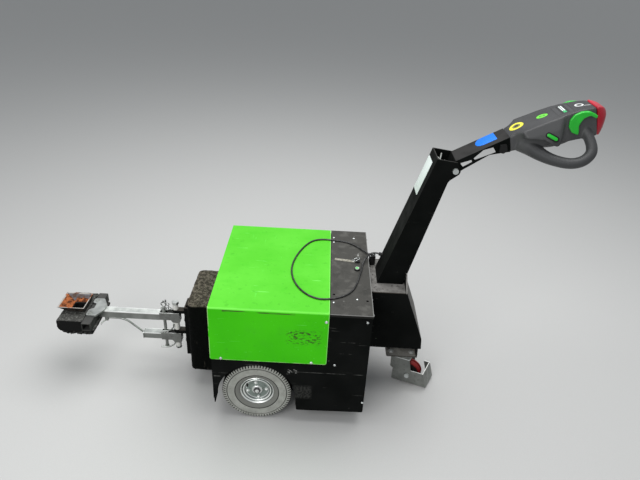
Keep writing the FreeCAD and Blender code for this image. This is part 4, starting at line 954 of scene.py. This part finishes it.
DECALS = [
    (oval, (0.040, 0.005, 0.052, 0.052), (0.012, 0.012, 0.011)),
    (oval, (0.040, 0.005, 0.047, 0.047), (0.72, 0.66, 0.045)),
    (oval, (0.040, 0.005, 0.027, 0.027), (0.17, 0.165, 0.045)),
    (oval, (0.040, 0.005, 0.014, 0.014), (0.018, 0.018, 0.014)),
    (oval, (0.125, 0.003, 0.042, 0.032), (0.012, 0.012, 0.012)),
    (oval, (0.125, 0.003, 0.037, 0.027), (0.13, 0.60, 0.035)),
    (oval, (0.125, 0.003, 0.021, 0.013), (0.035, 0.21, 0.02)),
    (oval, (0.125, 0.003, 0.011, 0.006), (0.13, 0.60, 0.035)),
    (patch, (0.163, 0.217, -0.037, 0.038), (0.008, 0.008, 0.008)),
    (patch, (0.1655, 0.2145, -0.0345, 0.0355), (0.036, 0.037, 0.039)),
    (patch, (0.178, 0.204, -0.0345, 0.0355), (0.009, 0.009, 0.010)),
    (patch, (0.186, 0.196, -0.013, 0.033), (0.62, 0.68, 0.66)),
    (patch, (0.1895, 0.1915, -0.013, 0.033), (0.02, 0.02, 0.02)),
    (patch, (0.186, 0.196, -0.031, -0.013), (0.03, 0.36, 0.12)),
    (oval, (0.244, 0.003, 0.028, 0.028), (0.60, 0.61, 0.60)),
    (oval, (0.244, 0.003, 0.017, 0.017), (0.015, 0.015, 0.016)),
    (patch, (0.256, 0.276, -0.0085, -0.0055), (0.60, 0.61, 0.60)),
]


def grained_head():
    """Dark grey plastic with a painted sheen on the flanks and loops, painted shade under the
    wings, the marks and a seam at the root.
    """
    f = Finish("head_plastic", 0.48, gloss=0.4)
    axes = head_axes(f)
    f.tone = f.mix(f.mottle(9, 0.35, 0.65, 5), (0.022, 0.0225, 0.0235), (0.034, 0.0345, 0.036))
    # Painted sheen on what doesn't face up, and painted shade under the wings.
    f.lay((0.060, 0.061, 0.062), f.toward("Z", 0.75, 0.35))
    aside = f.between(f.maths("ABSOLUTE", axes[1]), 0.060, 0.072)
    f.lay((0.040, 0.041, 0.0425), f.between(axes[2], 0.010, -0.012), aside)
    for mark, spot, colour in DECALS:
        f.lay(colour, mark(f, axes, *spot))
    f.lay((0.003, 0.003, 0.003), f.band(axes[0], -0.0032, -0.0008, 0.0004), 0.9)
    return f.paint().relief(0.22, 0.0004, 850, 0.25, 0.75, 3)


head_plastic = grained_head()
print("marks on the head", len(DECALS))

# %% Head and loops in one skin, the loop's line in millimetres
LOOP_RADIUS = 0.018
DROOP = math.radians(50)
LOOP_LINE = [(40, -4), (58, 18), (80, 52), (110, 84), (159, 116), (200, 121), (232, 105),
             (242, 83), (243, 50), (240, 7)]
LOOP_SWELL = [1.9, 1.65, 1.28, 1.05, 1.0, 1.0, 1.0, 0.98, 0.95, 0.95]
LOOP_EDGE = 0.028


def loop_point(side, s, t):
    """A point of a grip loop's line, t outwards and down from the head's edge."""
    return in_head(s, side * (LOOP_EDGE + t * math.cos(DROOP)), -t * math.sin(DROOP))


shape = copy_node("tiller_head")
for side, _ in SIDES:
    line = [loop_point(side, s, t) for s, t in millimetres(LOOP_LINE)]
    shape.from_mesh(swept_mesh(line, LOOP_RADIUS, LOOP_SWELL, sides=8))
finish_piece("head_moulding", melt(shape, 0.0026, 9), head_plastic, "tiller",
             ["tiller_head", *both("grip_loop")], crease=180)

# %% [markdown]
# The thumb levers and the red push switch are hard plates in CAD. Their real edges are
# rounded like soap, so they get the same treatment with finer voxels.

# %% Levers and red switch
def glossy_red():
    """Glossy red plastic with a dark line across the switch."""
    f = Finish("switch_red", 0.28, gloss=0.4)
    f.tone = f.mix(f.mottle(14, 0.35, 0.65, 6), (0.34, 0.008, 0.020), (0.50, 0.016, 0.034))
    f.lay((0.045, 0.001, 0.003), f.band(head_axes(f)[0], 0.2700, 0.2712))
    return f.paint().relief(0.05, 0.0004, 500, 0.3, 0.7)


def taper_switch(shape):
    """Thin the push switch towards its lower and upper ends, like a crescent."""
    root = HEAD_LENGTH - 0.006
    for vert in shape.verts:
        spot = HEAD_TURN.inverted() @ (vert.co - HEAD_PLACE)
        low = max(0, 0.010 - spot.z) / 0.060
        high = min(1, max(0, spot.z - 0.020) / 0.032)
        share = 1 - 0.62 * low ** 1.4 - 0.30 * high ** 2
        if spot.x > root:
            spot.x = root + (spot.x - root) * max(0.2, share)
        spot.y *= 1 - 0.30 * low ** 2
        vert.co = in_head(*spot)


switch_red = glossy_red()
for side, label in SIDES:
    name = "thumb_lever_" + label
    finish_piece("soft_" + name, melt(copy_node(name), 0.0013, 10), lever_green, "tiller",
                 [name], crease=180)
shape = melt(copy_node("belly_switch"), 0.0017, 10)
taper_switch(shape)
finish_piece("soft_belly_switch", shape, switch_red, "tiller",
             ["belly_switch"], crease=180)

# %% [markdown]
# A green rocker sits in a dark frame on each wing of the head. It is a small capsule laid
# on the wing's slope.

# %% Rocker buttons on the wings
ROCKER_ALONG, ROCKER_ASIDE, ROCKER_ABOVE = 0.125, 0.0815, 0.011
ROCKER_SLOPE = Vector((0.013, 0.0045, -0.0125)).normalized()
WING_LEAN = math.radians(16)
ROCKER_PLATES = [
    ("rocker_frame_", 0.047, 0.019, 0.0042, 0.0008, black_fitting, "moulded_black"),
    ("rocker_button_", 0.037, 0.0105, 0.0068, 0.0015, lever_green, "lever_green")]

for side, label in SIDES:
    mirror = Vector((1, side, 1))
    along_button = HEAD_TURN @ (ROCKER_SLOPE * mirror)
    outward = HEAD_TURN @ Vector((0, side * math.cos(WING_LEAN), math.sin(WING_LEAN)))
    across = outward.cross(along_button).normalized()
    spot = in_head(ROCKER_ALONG, side * ROCKER_ASIDE, ROCKER_ABOVE)
    stand = framed(spot, along_button, along_button.cross(across).normalized())
    for name, length, width, height, edge, finish, slot in ROCKER_PLATES:
        shape = bmesh.new()
        add_plate(shape, rounded_outline(length, width, width / 2, 4), height, stand, edge)
        finish_piece(name + label, shape, finish, "tiller")

# %% [markdown]
# ## Screws and small trim
# Screws, rings and small plates are left out of the CAD. Each group that sits on one body is a
# single piece, made of the small turned parts that we poured together.

# %% Screws of the body
SINK = 0.0001  # how far a head sinks into the face it sits on
PANEL_SPOTS = [(0.109, 0.230), (0.192, 0.231), (0.109, 0.192), (0.192, -0.206),
               (0.109, -0.230)]
HOOD_SPOTS = [(-0.281, 0.302), (0.042, 0.302), (0.087, 0.486)]
SKIRT_SPOTS = [(0.126, 0.294), (0.240, 0.117), (0.228, 0.490)]
REAR_SPOTS = [0.235, -0.194, -0.285]
hood_face = abs(hood_low.y)
skirt_face = abs(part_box("side_plate_right")[0].y)


def domed_screws(name, spots, direction, radius, height):
    """One piece on the chassis with a domed screw head at every spot."""
    shape = bmesh.new()
    for spot in spots:
        add_screw(shape, spot, direction, radius, height)
    finish_piece(name, shape, zinc_bright, "chassis")


domed_screws("panel_screws", [(x, y, hood_high.z - SINK) for x, y in PANEL_SPOTS], (0, 0, 1),
             0.0046, 0.0028)
for side, label in SIDES:
    domed_screws("hood_screws_" + label, [(x, side * (hood_face - SINK), z)
                                          for x, z in HOOD_SPOTS], (0, side, 0),
                 0.0058, 0.0036)
    domed_screws("skirt_screws_" + label, [(x, side * (skirt_face - SINK), z)
                                           for x, z in SKIRT_SPOTS], (0, side, 0),
                 0.0048, 0.0030)
domed_screws("rear_screws", [(panel_high.x - SINK, y, 0.516) for y in REAR_SPOTS], (1, 0, 0),
             0.0042, 0.0028)

# %% Screws of the jaw and the castor, and a painted highlight along the fork's edges
CASTOR_X = 0.403
CASTOR_TURN = math.radians(-20.6)
BASE_TOP = 0.169
CROWN_TOP = 0.131


def ringed_screws(name, spots, ring, head, sides, finish, body):
    """Screw heads that each stand in a wire ring."""
    shape = bmesh.new()
    for spot in spots:
        add_ring(shape, *ring, aimed(spot), 32)
        add_drum(shape, *head, aimed(spot), sides, 0.0006)
    finish_piece(name, shape, finish, body)


jaw_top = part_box("jaw_plate")[1].z
ringed_screws("jaw_screws", [(-0.845, y, jaw_top) for y in (-0.043, 0.043)],
              (0.0082, 0.0012), (0.0055, 0.0018), 6, zinc_dull, "tow_arm")
ringed_screws("castor_base_screws", [(CASTOR_X + dx, y, BASE_TOP - SINK)
                                     for dx in (-0.0415, 0.0415) for y in (-0.0525, 0.0525)],
              (0.0098, 0.0013), (0.0066, 0.0030), 24, screw_bright, "chassis")
# A bright bar along each edge of the fork's crown is a painted highlight.
shape = bmesh.new()
castor_stand = (Matrix.Translation((CASTOR_X, 0, CROWN_TOP - 0.001))
                @ Matrix.Rotation(CASTOR_TURN, 4, "Z"))
for side, _ in SIDES:
    edge = ((-0.024, side * 0.0415, 0), (0.020, side * 0.0422, 0), (0.058, side * 0.0415, 0))
    add_bar(shape, [castor_stand @ Vector(spot) for spot in edge], 0.0019)
finish_piece("crown_highlight_bar", shape, screw_bright, "castor_swivel")

# %% [markdown]
# ## The latch's ring and chain
# A spring ring hangs on the upper latch pin, with a few links of chain. Each link is a wire
# ring, turned away from the last one as in a real chain.

# %% Ring and links
LINKS = [((-0.5630, 0.003, 0.302), (0.2, 1, 0.1), 0.0105, 0.0019),
         ((-0.5540, -0.004, 0.3135), (1, 0.3, 0.4), 0.0062, 0.0014),
         ((-0.5465, 0.002, 0.3045), (0.1, 1, 0.2), 0.0068, 0.0015),
         ((-0.5425, -0.003, 0.2940), (1, 0.2, 0.1), 0.0062, 0.0014),
         ((-0.5395, 0.003, 0.2840), (0.3, 1, 0.0), 0.0066, 0.0015),
         ((-0.5485, -0.004, 0.2810), (0.6, 0.6, 0.8), 0.0060, 0.0014),
         ((-0.5580, 0.006, 0.2835), (0.2, 0.5, 1.0), 0.0066, 0.0015)]
shape = bmesh.new()
for place, normal, radius, wire in LINKS:
    add_ring(shape, radius, wire, aimed(place, normal), 24)
add_drum(shape, 0.0030, 0.012, aimed((-0.5640, 0.0, 0.3115), (0.3, 0.1, 1)), 12)
add_drum(shape, 0.0028, 0.010, aimed((-0.5520, 0.0, 0.3165), (-0.1, 0.1, 1)), 12)
finish_piece("latch_ring", shape, zinc_hinge, "tow_arm")

# %% Collars and pin of the hinge
HINGE_X = -0.514


def pin_steel():
    """Bright steel, with the white sleeve that covers a stretch of the hinge pin."""
    f = zinc_plate("hinge_pin_steel", (0.62, 0.64, 0.62), 0.3, 0.25, 0.2)
    metal = f.shader["Metallic"].links[0].from_socket
    sleeve = f.box((-1, -1, 0.285), (0, 1, 0.3095), 0.0003)
    f.lay((0.66, 0.66, 0.62), sleeve)
    return f.paint(metallic=f.times(metal, f.maths("SUBTRACT", 1.0, sleeve)))


hinge_pin_steel = pin_steel()
shape = bmesh.new()
for height, radius in ((0.2246, 0.0128), (0.0905, 0.0118)):
    add_drum(shape, radius, 0.004, aimed((HINGE_X, 0, height)), 32, 0.0008)
finish_piece("hinge_collars", shape, steel_dark, "tow_arm")

# %% [markdown]
# ## Labels and the column's trim
# The column carries one white plate, left blank, and the arm a blue sticker. Both are thin
# sheets that lie on their sloping faces. Inside the open top of the column a narrow stop
# plate and two thin bars run from wall to wall.

# %% Blank label, blue sticker and column stop
SHEET = 0.0006
COLUMN_RUN = 0.3045  # how far the column leans back for each metre up
COLUMN_FRONT = Vector((0.273, 0, 0.497))  # a point on its front face
LABEL_HEIGHT = 0.9135
ARM_SLOPE = math.atan2(0.092, 0.1615)
ARM_TOP = Vector((0.491, 0, 0.996))  # a point on the arm's upper face
STICKER_X = 0.593
STICKER = [(0.034, -0.031), (0.034, 0.031), (-0.012, 0.031), (-0.024, 0.027),
           (-0.034, 0.012), (-0.037, -0.004), (-0.034, -0.018), (-0.026, -0.027),
           (-0.012, -0.031)]


def stick_on(name, outline, place, slope, finish, body):
    """A thin sheet on a face that rises along X by a slope in radians."""
    up_slope = Vector((math.cos(slope), 0, math.sin(slope)))
    off_face = Vector((-math.sin(slope), 0, math.cos(slope)))
    shape = bmesh.new()
    add_plate(shape, outline, SHEET, framed(place, up_slope, off_face), 0.0001)
    finish_piece(name, shape, finish, body)


label_x = COLUMN_FRONT.x + COLUMN_RUN * (LABEL_HEIGHT - COLUMN_FRONT.z)
stick_on("blank_label", rounded_outline(0.131, 0.073, 0.003, 6), (label_x, 0.0175, LABEL_HEIGHT),
         math.atan2(1, COLUMN_RUN), label_white, "chassis")
sticker_z = ARM_TOP.z + (STICKER_X - ARM_TOP.x) * math.tan(ARM_SLOPE)
sticker_blue = moulded("sticker_blue", (0.007, 0.155, 0.64), 0.4, 0.0, 0.3, 0.2)
stick_on("blue_sticker", STICKER, (STICKER_X, 0.014, sticker_z), ARM_SLOPE, sticker_blue,
         "tiller")

shape = bmesh.new()
add_block(shape, (0.003, 0.104, 0.020), aimed((0.474, 0, 0.953)), 0.001)
for side, _ in SIDES:
    add_bar(shape, [(0.434, -side * 0.0525, 0.981), (0.447, 0, 0.983 + side * 0.003),
                    (0.460, side * 0.0525, 0.985)], 0.0026)
finish_piece("column_stop", shape, zinc_dull, "chassis")

# %% [markdown]
# ## Switches on the panel
# The key has a split ring and a strap tag, the power button a pale ring with a green lens,
# and the plug a wire bail. The key and the button keep their CAD shapes, with finishes that
# change by place.

# %% Panel fittings
def button_plastic(low, high):
    """Black plastic with a pale cap and a green lens."""
    f = moulded("button_look", (0.010, 0.010, 0.010), 0.4, 0.1, 0.2, 0.3)
    middle = (low + high) / 2
    f.lay((0.62, 0.68, 0.60), f.box((0, -1, high.z - 0.0035), (1, 1, high.z + 0.01), 0.0002))
    f.lay((0.07, 0.50, 0.10), f.box((middle.x - 0.0058, middle.y - 0.0058, high.z - 0.001),
                                    (middle.x + 0.0046, middle.y + 0.0046, high.z + 0.01), 0.001))
    return f.paint()


def key_plastic(floor):
    """Black plastic with a canvas tag that lies on the panel and a bright key blade."""
    f = moulded("key_look", (0.012, 0.012, 0.012), 0.42, 0.1, 0.3, 0.3)
    canvas = f.mix(f.mottle(120, 0.4, 0.6, 6), (0.20, 0.19, 0.155), (0.34, 0.325, 0.275))
    f.lay(canvas, f.box((0.105, 0.02, 0.5), (0.1905, 0.08, floor + 0.0025), 0.0003))
    blade = f.box((0.195, 0.02, floor + 0.0065), (0.21, 0.08, 0.60), 0.0003)
    f.lay((0.50, 0.50, 0.48), blade)
    return f.paint(metallic=f.times(blade, 0.8))


button_look = button_plastic(*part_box("power_button"))
key_look = key_plastic(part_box("key_switch")[0].z)
shape = bmesh.new()
add_ring(shape, 0.0125, 0.0011, aimed((0.197, 0.047, 0.5345), (-0.45, 0.2, 1)), 36)
add_ring(shape, 0.0095, 0.0009, aimed((0.186, 0.043, 0.5285), (0.15, 0.3, 1)), 36)
finish_piece("key_ring", shape, zinc_bright, "chassis")
shape = bmesh.new()
plug_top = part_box("cable_socket")[1].z
BAIL = [((0.252, 0.060), (0.248, 0.072), (0.256, 0.086), (0.266, 0.094)),
        ((0.270, 0.064), (0.274, 0.076), (0.270, 0.088), (0.266, 0.094))]
for side in BAIL:
    heights = (0.541, 0.5425, 0.5425, 0.5415)
    add_bar(shape, [(x, y, z) for (x, y), z in zip(side, heights)], 0.0016)
add_drum(shape, 0.0062, 0.004, aimed((0.261, 0.082, plug_top - 0.0005)), 20, 0.0008)
finish_piece("plug_bail", shape, zinc_bright, "chassis")

# %% [markdown]
# ## Dressing the CAD nodes
# Every CAD node but the cable gets its finish here. Most of them keep their shape, and some
# are replaced by the pieces above. A table of finish and node names is easier to read, and
# to change, than a line for each node.

# %% Give each node its finish
DRESS = [
    (hood_paint, ["hood"]),
    (black_skirt, both("side_plate")),
    (black_side, ["front_wall", "rear_wall", "belly_plate", "bracket_back",
                  *both("frame_rail")]),
    (edged_panel, ["top_panel"]),
    (black_base, ["castor_base"]),
    (ballast_paint, ["ballast_box"]),
    (black_hitch, ["hitch_bracket", *both("bracket_cheek")]),
    (dust_and_sheen_plate, ["bracket_top", "bracket_rear"]),
    (black_column, ["column"]),
    (black_arm, ["tiller_arm"]),
    (zinc, ["jaw_plate"]),
    (zinc_knuckle, ["upper_knuckle", "lower_knuckle"]),
    (zinc_tube, ["main_tube", "lower_tube", "brace_rod", "release_rods"]),
    (steel_dark, ["cross_tube"]),
    (zinc_dull, ["latch_pin", "castor_plate"]),
    (zinc_sheet, ["foot_guard", "castor_fork"]),
    (hinge_pin_steel, ["hinge_pin"]),
    (zinc_bright, ["pivot_bolt", "castor_axle"]),
    (sleeve_white, ["hinge_sleeves"]),
    (pad_rubber, ["rubber_pad"]),
    (rust, ["catch_funnel"]),
    (black_fitting, ["arm_switch_box", "cable_socket", "column_gland"]),
    (button_look, ["power_button"]),
    (key_look, ["key_switch"]),
    (castor_core, ["castor_core"]),
    (castor_red, ["castor_tread"]),
    (battery_case, ["battery_pack"]),
    (cast_case, ["transaxle", "drive_motor"]),
    (tyre_rubber, both("tyre")),
    (zinc_rim, both("rim")),
    (head_plastic, ["tiller_head", *both("grip_loop")]),
    (lever_green, both("thumb_lever")),
    (switch_red, ["belly_switch"]),
]
dressed = set()
for finish, names in DRESS:
    for name in names:
        slots = nodes[name].data.materials
        slots.clear()
        slots.append(finish.material)
        dressed.add(name)
print("nodes dressed", len(dressed), "left", sorted(set(nodes) - dressed))

# %% [markdown]
# ## Floor and light
# The tug stands on a plain pale floor that runs on behind it. Two large soft lamps and an
# even world give it the light of a cloudy day: bright from above, with no hard shadow.

# %% Floor, lamps and world
floor_mesh = bpy.data.meshes.new("floor")
shape = bmesh.new()
bmesh.ops.create_grid(shape, x_segments=1, y_segments=1, size=30)
bmesh.ops.translate(shape, verts=shape.verts, vec=(0, 0, -0.0005))
shape.to_mesh(floor_mesh)
shape.free()
floor = new_object("floor", floor_mesh)
pale_floor = Finish("pale_floor", 0.8)
pale_floor.tone = pale_floor.mix(pale_floor.mottle(400, 0.3, 0.7), (0.49, 0.49, 0.48),
                                 (0.52, 0.52, 0.51))
pale_floor.paint()
floor_mesh.materials.append(pale_floor.material)


def soft_lamp(name, place, aim, size, watts):
    """A large square lamp that points at a place."""
    lamp = bpy.data.lights.new(name, "AREA")
    lamp.shape = "SQUARE"
    lamp.size = size
    lamp.energy = watts
    holder = new_object(name, lamp)
    holder.location = place
    holder.rotation_euler = (Vector(aim) - Vector(place)).to_track_quat("-Z", "Y").to_euler()


soft_lamp("sky_lamp", (0.2, 0.5, 3.4), (0, 0, 0.4), size=3.2, watts=122)
soft_lamp("front_lamp", (-1.4, -3.0, 2.5), (0, 0, 0.4), size=2.2, watts=66)

world = bpy.data.worlds.new("cloudy_day")
bpy.context.scene.world = world
world.use_nodes = True
sky = world.node_tree.nodes["Background"].inputs
sky["Color"].default_value = (0.92, 0.96, 1.0, 1)
sky["Strength"].default_value = 0.42
bpy.context.scene.view_settings.view_transform = "Standard"
